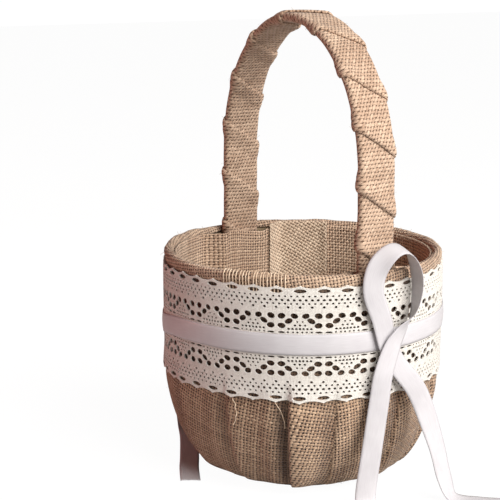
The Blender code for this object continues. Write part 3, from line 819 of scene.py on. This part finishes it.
# Holes of one repeat, from the outer edge inwards: middle along and across the band,
# width, height and turn in degrees. Millimetres.
FLOWER_HOLES = [
    (0.0, 2.5, 6.0, 2.0, 0), (11.15, 2.5, 6.0, 2.0, 0),
    (-2.5, 14.2, 3.8, 2.9, 12), (2.5, 14.2, 3.8, 2.9, -12),
    (-5.9, 16.6, 4.0, 2.6, 28), (5.9, 16.6, 4.0, 2.6, -28),
    (-2.55, 18.8, 3.9, 2.8, -6), (2.55, 18.8, 3.9, 2.8, 6),
    (8.5, 14.2, 3.6, 2.7, 14), (13.8, 14.2, 3.6, 2.7, -14),
    (-2.4, 22.0, 3.6, 1.0, 0), (2.4, 22.0, 3.6, 1.0, 0),
]


def small_holes():
    """The fine mesh of one repeat."""
    holes = []
    rows = ((4.9, 8, 0.5, 1.05), (6.7, 8, 0.0, 1.35), (8.4, 8, 0.5, 1.1), (10.1, 4, 0.0, 1.3))
    for level, count, shift, size in rows:
        for i in range(count):
            holes.append(((i + shift) * LACE_REPEAT / count, level, size * 1.15, size, 0))
    for level, places, size in ((16.9, (9.9, 12.4), 1.0), (18.6, (8.8, 11.15, 13.5), 1.2),
                                (20.3, (5.9, 7.7, 9.5, 11.15, 12.8, 14.6, 16.4), 1.25),
                                (21.9, (5.6, 8.0, 10.0, 12.3, 14.3, 16.7), 1.0)):
        for u in places:
            holes.append((u, level, size * 1.1, size, 0))
    return holes


def lace_chart():
    """Loose points at the holes of one repeat, and the band's outline as edges."""
    spots = []
    rows = []
    for across in (False, True):
        for u, w, width, height, turn in FLOWER_HOLES + small_holes():
            spots.append((u, LACE_HEIGHT - w if across else w, 0))
            lean = math.radians(-turn if across else turn)
            rows.append((width / 2, height / 2, lean, 12 if width > 2 else 6))
    length = LACE_REPEATS * LACE_REPEAT
    outline = []
    steps = LACE_REPEATS * 2 * 12
    for i in range(steps + 1):
        u = length * i / steps
        outline.append((u, 1.25 * abs(math.sin(math.pi * u / 11.15)) ** 0.75, 0))
    outline += [(length, w, 0) for w in np.linspace(4, LACE_HEIGHT - 4, 9)]
    outline += [(u, LACE_HEIGHT - w, 0) for u, w, _ in reversed(outline[: steps + 1])]
    outline += [(0, w, 0) for w in np.linspace(LACE_HEIGHT - 4, 4, 9)]
    first = len(spots)
    edges = [(first + i, first + (i + 1) % len(outline)) for i in range(len(outline))]
    mesh = bpy.data.meshes.new("lace chart")
    mesh.from_pydata([*spots, *outline], edges, [])
    values = np.array(rows + [(0, 0, 0, 0)] * len(outline))
    for i, name in enumerate(("half_width", "half_height", "turn", "sides")):
        column = mesh.attributes.new(name, "FLOAT", "POINT").data
        column.foreach_set("value", values[:, i].astype(np.float32))
    return mesh


def geometry_tree(name, **sockets):
    """An empty geometry tree with named inputs, and the sockets that they come in by."""
    tree = bpy.data.node_groups.new(name, "GeometryNodeTree")
    for key, kind in sockets.items():
        title = key.replace("_", " ")
        tree.interface.new_socket(title, in_out="INPUT", socket_type=f"NodeSocket{kind}")
    tree.interface.new_socket("Made", in_out="OUTPUT", socket_type="NodeSocketGeometry")
    return tree, tree.nodes.new("NodeGroupInput").outputs


def real_and_finished(tree, geometry, material):
    """Ends a geometry tree: its instances are made real and given their material."""
    real = node(tree, "GeometryNodeRealizeInstances", {"Geometry": geometry}).outputs[0]
    made = node(tree, "GeometryNodeSetMaterial", {"Geometry": real, "Material": material}).outputs[0]
    tree.links.new(made, tree.nodes.new("NodeGroupOutput").inputs[0])


def perforation_tree():
    """Repeats the chart's holes along the band, cuts them out of its outline, and fills
    what is left with faces."""
    tree, given = geometry_tree("lace perforations", Chart="Geometry", Repeats="Int", Repeat_Width="Float",
                                Hole_Size="Float", Cotton="Material")

    def attribute(name):
        return node(tree, "GeometryNodeInputNamedAttribute", {"Name": name}, data_type="FLOAT").outputs[0]

    border = sums(tree, "LESS_THAN", attribute("sides"), 1.0)
    parts = node(tree, "GeometryNodeSeparateGeometry", {"Geometry": given["Chart"], "Selection": border})
    outline = node(tree, "GeometryNodeMeshToCurve", {"Mesh": parts.outputs[0]}).outputs[0]
    centres = node(tree, "GeometryNodeMeshToPoints", {"Mesh": parts.outputs[1]}).outputs[0]
    step = node(tree, "ShaderNodeCombineXYZ", {0: given["Repeat Width"]}).outputs[0]
    rail = node(tree, "GeometryNodeMeshLine", {"Count": given["Repeats"], "Offset": step}).outputs[0]
    repeated = node(tree, "GeometryNodeInstanceOnPoints", {"Points": rail, "Instance": centres}).outputs[0]
    repeated = node(tree, "GeometryNodeRealizeInstances", {"Geometry": repeated}).outputs[0]
    joined = node(tree, "GeometryNodeJoinGeometry")
    tree.links.new(outline, joined.inputs[0])
    turn = node(tree, "ShaderNodeCombineXYZ", {2: attribute("turn")}).outputs[0]
    turn = node(tree, "FunctionNodeEulerToRotation", {0: turn}).outputs[0]
    wide = sums(tree, "MULTIPLY", attribute("half_width"), given["Hole Size"])
    tall = sums(tree, "MULTIPLY", attribute("half_height"), given["Hole Size"])
    size = node(tree, "ShaderNodeCombineXYZ", {0: wide, 1: tall, 2: 1.0}).outputs[0]
    for sides in (6, 12):
        circle = node(tree, "GeometryNodeCurvePrimitiveCircle", {"Resolution": sides, "Radius": 1.0})
        low = sums(tree, "GREATER_THAN", attribute("sides"), sides - 1.0)
        high = sums(tree, "LESS_THAN", attribute("sides"), sides + 1.0)
        which = node(tree, "FunctionNodeBooleanMath", {0: low, 1: high}, operation="AND").outputs[0]
        holes = node(tree, "GeometryNodeInstanceOnPoints",
                     {"Points": repeated, "Selection": which, "Instance": circle.outputs[0],
                      "Rotation": turn, "Scale": size})
        holes = node(tree, "GeometryNodeRealizeInstances", {"Geometry": holes.outputs[0]}).outputs[0]
        tree.links.new(holes, joined.inputs[0])
    filled = node(tree, "GeometryNodeFillCurve", {"Curve": joined.outputs[0]}, mode="TRIANGLES").outputs[0]
    real_and_finished(tree, filled, given["Cotton"])
    return tree


def grown(tree, name, start, **inputs):
    """Runs a geometry tree on a starting mesh, and gives the result as a plain mesh."""
    thing = bpy.data.objects.new(name, start)
    bpy.context.scene.collection.objects.link(thing)
    modifier = thing.modifiers.new(name, "NODES")
    modifier.node_group = tree
    sockets = [item for item in tree.interface.items_tree if item.in_out == "INPUT"]
    identifiers = {socket.name: socket.identifier for socket in sockets}
    for key, value in inputs.items():
        modifier[identifiers[key.replace("_", " ")]] = value
    bpy.context.view_layer.update()
    seen = thing.evaluated_get(bpy.context.evaluated_depsgraph_get())
    mesh = bpy.data.meshes.new_from_object(seen)
    bpy.data.objects.remove(thing)
    mesh.name = name
    return mesh


def lace_lift(angle, height):
    """How far the lace stands off the wall: it rides over the cover's folds at its lower
    edge, and ripples a little."""
    over_fold = pleat_swell(angle, 53 * MM)[0] * (1 - ease((height - 50 * MM) / (16 * MM)))
    ripple = noise.noise(Vector((math.cos(angle) * 3.3, math.sin(angle) * 3.3, height * 16)))
    low_edge = 1 - ease((height - 52 * MM) / (12 * MM))
    return max(0.0, over_fold) + (0.25 + 0.3 * ripple + 0.25 * low_edge * (0.5 + ripple)) * MM


def lace_radius(height):
    level = min(max(height, LACE_BOTTOM), 108.3 * MM)
    share = min((level - LACE_BOTTOM) / (103 * MM - LACE_BOTTOM), 1)
    return upper_radius(level) + 0.3 * MM + 1.2 * MM * share


def wound_lace(mesh):
    """Rolls the flat lace round the wall and closes its seam."""
    shape = bmesh.new()
    shape.from_mesh(mesh)
    long_edges = [edge for edge in shape.edges if edge.calc_length() > 4.5]
    bmesh.ops.subdivide_edges(shape, edges=long_edges, cuts=1)
    bmesh.ops.triangulate(shape, faces=[face for face in shape.faces if len(face.verts) > 3])
    layer = shape.loops.layers.uv.new("cloth")
    for face in shape.faces:
        if face.normal.z < 0:
            face.normal_flip()
        for loop in face.loops:
            loop[layer].uv = (loop.vert.co.x * MM, loop.vert.co.y * MM)
    for vert in shape.verts:
        u, w = vert.co.x, vert.co.y
        angle = LACE_SEAM + math.tau * u / (LACE_REPEATS * LACE_REPEAT)
        dip = 1.8 * MM * math.exp(-((off_angle(angle, math.radians(-122)) / 0.5) ** 2))
        height = LACE_BOTTOM + w * MM - dip
        reach = lace_radius(height) + lace_lift(angle, height)
        vert.co = (reach * math.cos(angle), reach * math.sin(angle), height)
    bmesh.ops.remove_doubles(shape, verts=shape.verts, dist=0.00002)
    shape.to_mesh(mesh)
    shape.free()
    return mesh


def cotton_finish():
    """Cotton thread, worked in fine close rows."""
    material, tree, shader = new_finish("cotton lace", 0.85, Sheen_Weight=0.2, Specular_IOR_Level=0.2)
    threads = node(tree, "ShaderNodeGroup", node_tree=weave)
    place = cloth_place(tree)
    tree.links.new(place, threads.inputs["Cloth Place"])
    for key, value in (("Thread Pitch", 0.00062), ("Light Thread", (0.88, 0.85, 0.80, 1)),
                       ("Dark Thread", (0.78, 0.74, 0.68, 1)), ("Gap Shade", (0.52, 0.46, 0.40, 1)),
                       ("Thread Width", 0.43)):
        threads.inputs[key].default_value = value
    patches = speckle(tree, place, 90, 3.0).outputs[0]
    tint = spread(tree, patches, 0.3, 0.7, 0.0, 0.35)
    colour = blend(tree, tint, threads.outputs["Colour"], (0.80, 0.76, 0.70, 1))
    tree.links.new(colour, shader.inputs["Base Color"])
    relief(tree, shader, threads.outputs["Height"], 0.8, 0.0004)
    return material


cotton = cotton_finish()
lace_mesh = grown(perforation_tree(), "lace_band_cloth", lace_chart(), Repeats=LACE_REPEATS,
                  Repeat_Width=LACE_REPEAT, Hole_Size=1.0, Cotton=cotton)
lace = add_piece("lace_band_cloth", wound_lace(lace_mesh), cotton)
thicken = lace.modifiers.new("thread thickness", "SOLIDIFY")
thicken.thickness = LACE_THICKNESS
thicken.offset = 1.0
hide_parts("lace_band")

# Satin band. A white satin ribbon, 10 mm wide, laid round the middle of the lace with its
# ends lapped under the back bow.

RIBBON_WIDTH = 10 * MM
BAND_CENTRE = 80.5 * MM
BAND_COLUMNS = 480


def satin_finish():
    """Woven satin: fine cross threads, faint streaks along it and a firm edge each side."""
    material, tree, shader = new_finish("white satin", 0.38, Specular_IOR_Level=0.42, Sheen_Weight=0.1,
                                        Sheen_Roughness=0.35, Anisotropic=0.5)
    place = cloth_place(tree)
    axes = node(tree, "ShaderNodeSeparateXYZ", {0: place}).outputs
    off_middle = sums(tree, "ABSOLUTE", sums(tree, "SUBTRACT", axes[0], RIBBON_WIDTH / 2))
    selvedge = spread(tree, off_middle, 4.3 * MM, 4.7 * MM, kind="SMOOTHSTEP")
    stretched = node(tree, "ShaderNodeMapping", {"Vector": place, "Scale": (1, 0.06, 1)}).outputs[0]
    streaks = speckle(tree, stretched, 2600, 2.0).outputs[0]
    soft = speckle(tree, place, 85, 2.0).outputs[0]
    tone = sums(tree, "ADD", sums(tree, "MULTIPLY", streaks, 0.5), sums(tree, "MULTIPLY", soft, 0.5))
    colour = blend(tree, spread(tree, tone, 0.3, 0.7), (0.54, 0.52, 0.54, 1), (0.63, 0.612, 0.63, 1))
    colour = blend(tree, sums(tree, "MULTIPLY", selvedge, 0.5), colour, (0.44, 0.42, 0.44, 1))
    tree.links.new(colour, shader.inputs["Base Color"])
    rough = sums(tree, "MULTIPLY_ADD", selvedge, 0.18, spread(tree, tone, 0.3, 0.7, 0.34, 0.43))
    tree.links.new(rough, shader.inputs["Roughness"])
    ribs = sums(tree, "SINE", sums(tree, "MULTIPLY", axes[1], math.tau / (0.42 * MM)))
    height = sums(tree, "MULTIPLY_ADD", ribs, 0.10, selvedge)
    height = sums(tree, "MULTIPLY_ADD", streaks, 0.25, height)
    relief(tree, shader, height, 0.35, 0.00025)
    grain = node(tree, "ShaderNodeTangent", direction_type="UV_MAP", uv_map="cloth")
    tree.links.new(grain.outputs[0], shader.inputs["Tangent"])
    return material


satin = satin_finish()


def band_dip(angle):
    """The band sags a little on the left."""
    return -6.3 * MM * math.exp(-((off_angle(angle, math.radians(-125)) / 0.45) ** 2))


def satin_band():
    angles = np.arange(BAND_COLUMNS) / BAND_COLUMNS * math.tau
    across = 9
    points = np.zeros((2 * across, BAND_COLUMNS, 3))
    for row in range(2 * across):
        outer = row < across
        share = row / (across - 1) if outer else (2 * across - 1 - row) / (across - 1)
        for column, angle in enumerate(angles):
            height = BAND_CENTRE + band_dip(angle) + (share - 0.5) * RIBBON_WIDTH
            base = lace_radius(height) + lace_lift(angle, height) + LACE_THICKNESS + 0.12 * MM
            crown = 0.35 * MM * (1 - (2 * share - 1) ** 2)
            reach = base + crown + (0.38 * MM if outer else 0)
            points[row, column] = (reach * math.cos(angle), reach * math.sin(angle), height)
    around = np.arange(BAND_COLUMNS + 1) / BAND_COLUMNS * math.tau * 71.3 * MM
    up = np.append(np.linspace(0, RIBBON_WIDTH, across), np.linspace(RIBBON_WIDTH, 0, across))
    up = np.append(up, 0.0)
    flat = np.stack([np.repeat(up[:, None], BAND_COLUMNS + 1, 1), np.repeat(around[None], len(up), 0)], -1)
    return lay_mesh("satin_band", points, flat[:, :-1], flat[:, 1:], closed_rows=True)


band = add_piece("satin_band", satin_band(), satin)
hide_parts("ribbon_band")

# Bows. Each is one length of the same satin: two crossed tails that hang to the table and
# lie on it, and one upright loop. A drop of set glue holds its crossing to the band.

glue = grained_finish("set glue", (0.80, 0.78, 0.70), (0.70, 0.67, 0.58), 300, 0.4, 0.0001, Coat_Weight=0.3)
refinish("bow_glue_front", glue)
refinish("bow_glue_back", glue)

FLOOR_LAY = 0.6
# How far the ribbon's middle stands off the band, how far it lies to the side, its
# height, and the way its face looks (out, to the side, up). Millimetres.
LOOP = [
    ((3.6, 15.5, 53), (0.95, -0.3, 0.1)),
    ((0.4, 5.5, 67.5), (1, 0, 0)),
    ((0, -0.5, 78), (1, 0, 0)),
    ((0.2, -4.5, 91), (1, -0.2, 0)),
    ((0.4, -9.5, 104), (0.95, -0.35, 0.05)),
    ((0.8, -8.5, 114), (0.85, -0.45, 0.3)),
    ((1.6, -3.5, 121.2), (0.55, -0.4, 0.75)),
    ((2.0, 3.2, 124.2), (0.35, -0.1, 0.93)),
    ((1.6, 9.8, 121.2), (0.22, 0.62, 0.75)),
    ((1.2, 14.3, 112.5), (0.05, 0.97, 0.25)),
    ((1.0, 15.2, 102.5), (0.12, 0.99, 0)),
    ((1.3, 12.2, 91), (0.45, 0.88, -0.1)),
    ((1.5, 4.2, 82), (0.95, 0.3, -0.1)),
    ((1.6, 0.2, 76), (1, 0, 0)),
    ((1.6, -4, 64), (1, -0.2, 0)),
    ((1.0, -5.4, 51), (0.95, -0.3, 0)),
    ((0.5, -8.8, 27), (0.95, -0.35, 0)),
    ((1.2, -12.2, 9), (0.9, -0.35, 0.2)),
    ((5, -15, 1.5), (0.4, -0.2, 0.9)),
    ((13, -22, FLOOR_LAY), (0, 0, 1)),
    ((24, -32.5, FLOOR_LAY), (0, 0, 1)),
    ((38, -44, FLOOR_LAY), (0, 0, 1)),
]
FRONT_TAIL = [
    ((46, 66, FLOOR_LAY), (0, 0, 1)),
    ((34, 51, FLOOR_LAY), (0, 0, 1)),
    ((24, 39, FLOOR_LAY), (0, 0, 1)),
    ((17, 28.5, 2), (0.5, 0.3, 0.8)),
    ((12.5, 25.6, 12), (1, 0.2, 0.15)),
    ((8.8, 22.8, 28.7), (0.95, 0.1, 0)),
]
BACK_TAIL = [
    ((-75, 67, FLOOR_LAY), (0, 0, -1)),
    ((-60, 59.5, FLOOR_LAY), (0, 0, -1)),
    ((-44, 50.5, FLOOR_LAY), (0, 0, -1)),
    ((-18, 36.5, FLOOR_LAY), (0, 0, -1)),
    ((-4, 30.5, 1.8), (0.5, 0.1, -0.8)),
    ((3.6, 28, 11), (1, 0.1, -0.15)),
    ((5.6, 25.5, 28), (0.95, 0.1, 0)),
]
BOW_STEPS = 14


def curve_through(a, b, c, d, share):
    """A point between b and c on a smooth curve through all four."""
    leaving = (c - a) / 2
    arriving = (d - b) / 2
    middle = b.lerp(c, ease(share))
    return middle + (leaving * (1 - share) - arriving * share) * share * (1 - share)


def limp(loop):
    """The back bow's loop is limp: it stands lower and leans out above the band."""
    points = []
    for (out, aside, height), face in loop:
        above = max(height - 80.5, 0)
        points.append(((out + above * 0.14, aside, height - above * 0.38), face))
    return points


def bow_place(out, aside, height):
    start = lace_radius(height * MM) + 0.9 * MM + 0.3 * MM + 0.5 * MM + 2.0 * MM
    return Vector((start + out * MM, aside * MM, height * MM))


def bow_ribbon(name, points, turn):
    """A ribbon along the bow's line, a little hollow across, with its ends cut slanting."""
    places = [bow_place(*place) for place, _ in points]
    faces = [Vector(face) for _, face in points]
    count = len(points)
    line = []
    for i in range(count - 1):
        near = [max(i - 1, 0), i, i + 1, min(i + 2, count - 1)]
        for step in range(BOW_STEPS):
            share = step / BOW_STEPS
            face = curve_through(*[faces[k] for k in near], share)
            line.append((curve_through(*[places[k] for k in near], share), face))
    line.append((places[-1], faces[-1]))
    across = 8
    spin = Matrix.Rotation(turn, 3, "Z")
    points = np.zeros((len(line), across + 1, 3))
    flat = np.zeros((len(line), across + 1, 2))
    length = 0.0
    for i, (spot, face) in enumerate(line):
        ahead = line[min(i + 1, len(line) - 1)][0]
        behind = line[max(i - 1, 0)][0]
        if i:
            length += (spot - behind).length
        along = (ahead - behind).normalized()
        out = (face - along * face.dot(along)).normalized()
        side = along.cross(out)
        slant = (1 if i == 0 else -1 if i == len(line) - 1 else 0) * 2.5 * MM
        for j in range(across + 1):
            share = j / across - 0.5
            hollow = 0.22 * MM * (1 - 4 * share * share) * ease((spot.z - 2 * MM) / (8 * MM))
            place = spot + side * share * RIBBON_WIDTH + out * hollow
            place += along * slant * (share + 0.5)
            points[i, j] = spin @ place
            flat[i, j] = ((share + 0.5) * RIBBON_WIDTH, length)
    mesh = lay_mesh(name, points, flat[:, :-1], flat[:, 1:], closed_columns=False)
    ribbon = add_piece(name, mesh, satin)
    thicken = ribbon.modifiers.new("ribbon thickness", "SOLIDIFY")
    thicken.thickness = 0.3 * MM
    thicken.offset = 0.0
    return ribbon, length


BOWS = (("bow_front", FRONT_TAIL + LOOP, 0.0), ("bow_back", BACK_TAIL + limp(LOOP), math.pi))
for name, points, turn in BOWS:
    ribbon, length = bow_ribbon(f"{name}_ribbon", points, turn)
    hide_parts(name)

# Loose fibres. Jute sheds: short hairs stand from every cut edge and fold, and a few
# longer threads have worked out of the cloth.


def fibre_tree():
    """Scatters curved hairs over a piece."""
    tree, given = geometry_tree("jute fibres", Cloth="Geometry", Per_Square_Metre="Float",
                                Fibre_Length="Float", Fibre_Radius="Float", Seed="Int", Jute="Material")
    scattered = node(tree, "GeometryNodeDistributePointsOnFaces",
                     {"Mesh": given["Cloth"], "Density": given["Per Square Metre"], "Seed": given["Seed"]})
    reach = given["Fibre Length"]
    middle = sums(tree, "MULTIPLY", reach, 0.35)
    aside = sums(tree, "MULTIPLY", reach, 0.8)
    tip_rise = sums(tree, "MULTIPLY", reach, 0.4)
    hair = node(tree, "GeometryNodeCurveQuadraticBezier",
                {"Resolution": 4, "Start": (0, 0, -0.0002),
                 "Middle": node(tree, "ShaderNodeCombineXYZ", {0: middle, 2: middle}).outputs[0],
                 "End": node(tree, "ShaderNodeCombineXYZ", {0: aside, 2: tip_rise}).outputs[0]}).outputs[0]
    ring = node(tree, "GeometryNodeCurvePrimitiveCircle",
                {"Resolution": 3, "Radius": given["Fibre Radius"]})
    hair = node(tree, "GeometryNodeCurveToMesh",
                {"Curve": hair, "Profile Curve": ring.outputs[0], "Fill Caps": True}).outputs[0]
    lean = node(tree, "FunctionNodeRandomValue",
                {0: (-0.5, -0.5, 0.0), 1: (0.5, 0.5, 6.283), "Seed": given["Seed"]},
                data_type="FLOAT_VECTOR")
    lean = node(tree, "FunctionNodeEulerToRotation", {0: lean.outputs[0]}).outputs[0]
    turn = node(tree, "FunctionNodeRotateRotation",
                {0: scattered.outputs["Rotation"], 1: lean}, rotation_space="LOCAL").outputs[0]
    size = node(tree, "FunctionNodeRandomValue", {2: 0.4, 3: 1.5, "Seed": given["Seed"]}, data_type="FLOAT")
    hairs = node(tree, "GeometryNodeInstanceOnPoints",
                 {"Points": scattered.outputs["Points"], "Instance": hair, "Rotation": turn,
                  "Scale": size.outputs[1]}).outputs[0]
    real_and_finished(tree, hairs, given["Jute"])
    return tree


def jute_finish(name, light, dark):
    material, tree, shader = new_finish(name, 0.8, Sheen_Weight=0.2)
    tone = speckle(tree, object_place(tree), 400, 2.0).outputs[0]
    colour = blend(tree, spread(tree, tone, 0.35, 0.65), (*dark, 1), (*light, 1))
    tree.links.new(colour, shader.inputs["Base Color"])
    relief(tree, shader, tone, 0.3, 0.0001)
    return material


def thread_tree():
    """Lays a round thread along every line."""
    tree, given = geometry_tree("laid threads", Lines="Geometry", Thread_Radius="Float", Jute="Material")
    lines = node(tree, "GeometryNodeMeshToCurve", {"Mesh": given["Lines"]}).outputs[0]
    ring = node(tree, "GeometryNodeCurvePrimitiveCircle",
                {"Resolution": 6, "Radius": given["Thread Radius"]})
    laid = node(tree, "GeometryNodeCurveToMesh",
                {"Curve": lines, "Profile Curve": ring.outputs[0], "Fill Caps": True}).outputs[0]
    real_and_finished(tree, laid, given["Jute"])
    return tree


def lines_mesh(name, lines):
    """Open lines of edges through the given points."""
    spots = []
    edges = []
    for line in lines:
        edges += [(len(spots) + i, len(spots) + i + 1) for i in range(len(line) - 1)]
        spots += line
    mesh = bpy.data.meshes.new(name)
    mesh.from_pydata(spots, edges, [])
    return mesh


# Each loose thread on the cover: its angle in degrees and its height in millimetres.
LOOSE_THREADS = [
    [(-46.7, 56.3), (-43.6, 52.1), (-40.6, 44.3), (-39.9, 38.0)],
    [(-61.0, 52.1), (-59.8, 47.7), (-59.7, 42.6), (-61.5, 37.5)],
]


def on_cover(degrees, height, stand):
    """A place a little off the cloth of the outer cover."""
    angle = math.radians(degrees)
    level = height * MM
    drop = min(max((level - COVER_BOTTOM) / (BELLY_HEIGHT - COVER_BOTTOM), 0), 1)
    radius = BASE_RADIUS + (BELLY_RADIUS - BASE_RADIUS) * math.sqrt(1 - (1 - drop) ** 2)
    radius += pleat_swell(angle, level)[0] + stand * MM
    return radius * math.cos(angle), radius * math.sin(angle), level


def loose_lines():
    lines = []
    for thread in LOOSE_THREADS:
        spots = [Vector((*spot, 0)) for spot in thread]
        line = []
        for i in range(len(spots) - 1):
            near = [spots[max(i - 1, 0)], spots[i], spots[i + 1], spots[min(i + 2, len(spots) - 1)]]
            for step in range(6):
                place = curve_through(*near, step / 6)
                line.append(on_cover(place.x, place.y, 0.5 + 0.5 * math.sin(step + i)))
        lines.append(line)
    return lines


# The way one cross thread lies over the rim, as (radius, height) in millimetres.
RAVELLED_THREAD = [(69.7, 104.2), (70.1, 107.4), (70.4, 109.6), (70.3, 111.4), (69.3, 112.9), (67.9, 113.5)]
RAVELLED_COUNT = 19


def ravelled_lines():
    """The cross threads that are left standing at the front of the rim."""
    lines = []
    for i in range(RAVELLED_COUNT):
        lean = noise.noise(Vector((i * 1.7, 4.0, 2.0)))
        line = []
        for j, (radius, height) in enumerate(RAVELLED_THREAD):
            angle = LAP_FROM + (LAP_TO - LAP_FROM) * (i + 0.5 + 0.25 * lean) / RAVELLED_COUNT
            angle += 0.006 * lean * j / 3
            line.append((radius * MM * math.cos(angle), radius * MM * math.sin(angle), height * MM))
        lines.append(line)
    return lines


hair_jute = jute_finish("loose jute", (0.70, 0.52, 0.34), (0.45, 0.29, 0.16))
pale_jute = jute_finish("pale jute", (0.76, 0.61, 0.45), (0.52, 0.37, 0.25))
threads = thread_tree()
LAID = (("cover_loose_threads", loose_lines(), 0.22), ("rim_ravelled_threads", ravelled_lines(), 0.3))
for name, lines, radius in LAID:
    laid = grown(threads, name, lines_mesh(name, lines), Thread_Radius=radius * MM, Jute=pale_jute)
    add_piece(name, laid, pale_jute)
fibres = fibre_tree()
SHEDDING = (
    (cover, "cover_fibres", 11000, 1.6, 3),
    (wrap, "handle_fibres", 14000, 1.7, 5),
    (rim, "rim_fibres", 22000, 1.9, 8),
)
for piece, name, density, reach, seed in SHEDDING:
    start = piece.data.copy()
    hairs = grown(fibres, name, start, Per_Square_Metre=density, Fibre_Length=reach * MM,
                  Fibre_Radius=0.045 * MM, Seed=seed, Jute=hair_jute)
    add_piece(name, hairs, hair_jute)

# Floor, lights and camera. A pale table that runs off into white, a large soft light high
# on the right, and a weak warm one from the left.


def white_table():
    material = bpy.data.materials.new("white table")
    material.use_nodes = True
    tree = material.node_tree
    shader = tree.nodes["Principled BSDF"]
    place = node(tree, "ShaderNodeTexCoord").outputs["Object"]
    soft = speckle(tree, place, 4.0, 2.0).outputs[0]
    tint = blend(tree, spread(tree, soft, 0.3, 0.7), (0.50, 0.49, 0.49, 1), (0.54, 0.54, 0.54, 1))
    tree.links.new(tint, shader.inputs["Base Color"])
    shader.inputs["Roughness"].default_value = 0.9
    glow = node(tree, "ShaderNodeEmission", {"Color": (1, 1, 1, 1), "Strength": 1.1})
    seen = node(tree, "ShaderNodeLightPath").outputs["Is Camera Ray"]
    share = sums(tree, "MULTIPLY", seen, 0.88)
    mixed = node(tree, "ShaderNodeMixShader", {0: share, 1: shader.outputs[0], 2: glow.outputs[0]})
    tree.links.new(mixed.outputs[0], tree.nodes["Material Output"].inputs["Surface"])
    return material


TABLE_REACH = 4
TABLE_TOP = -0.4 * MM
table_corners = [(-TABLE_REACH, -TABLE_REACH, TABLE_TOP), (TABLE_REACH, -TABLE_REACH, TABLE_TOP),
                 (TABLE_REACH, TABLE_REACH, TABLE_TOP), (-TABLE_REACH, TABLE_REACH, TABLE_TOP)]
table_mesh = bpy.data.meshes.new("table_top")
table_mesh.from_pydata(table_corners, [], [(0, 1, 2, 3)])
table_mesh.materials.append(white_table())
table = bpy.data.objects.new("table_top", table_mesh)
bpy.context.scene.collection.objects.link(table)

world = bpy.data.worlds.new("white room")
world.use_nodes = True
bpy.context.scene.world = world
room = world.node_tree
seen_white = room.nodes["Background"]
seen_white.inputs["Color"].default_value = (1, 1, 1, 1)
seen_white.inputs["Strength"].default_value = 1.02
fill = node(room, "ShaderNodeBackground", {"Color": (1.0, 0.90, 0.86, 1), "Strength": 0.10})
seen = node(room, "ShaderNodeLightPath").outputs["Is Camera Ray"]
both = node(room, "ShaderNodeMixShader", {0: seen, 1: fill.outputs[0], 2: seen_white.outputs[0]})
room.links.new(both.outputs[0], room.nodes["World Output"].inputs["Surface"])


def soft_light(name, place, aim, size, power, colour):
    lamp = bpy.data.lights.new(name, "AREA")
    lamp.size = size
    lamp.energy = power
    lamp.color = colour
    thing = bpy.data.objects.new(name, lamp)
    thing.location = place
    thing.rotation_euler = (Vector(aim) - Vector(place)).to_track_quat("-Z", "Y").to_euler()
    bpy.context.scene.collection.objects.link(thing)


soft_light("key light", (1.10, 0.30, 0.95), (0, 0, 0.1), 1.15, 40, (1.0, 0.98, 0.955))
soft_light("left glow", (-0.75, -0.95, 0.25), (0, 0, 0.08), 0.6, 3.5, (1.0, 0.20, 0.15))

camera = bpy.data.cameras.new("camera")
camera.lens = 100.3
camera.sensor_width = 36
viewer = bpy.data.objects.new("camera", camera)
viewer.location = (0.5753, -0.3810, 0.2590)
viewer.rotation_euler = Vector((-0.8352, 0.5078, -0.2112)).to_track_quat("-Z", "Y").to_euler()
bpy.context.scene.collection.objects.link(viewer)
bpy.context.scene.camera = viewer
bpy.context.scene.view_settings.view_transform = "Standard"
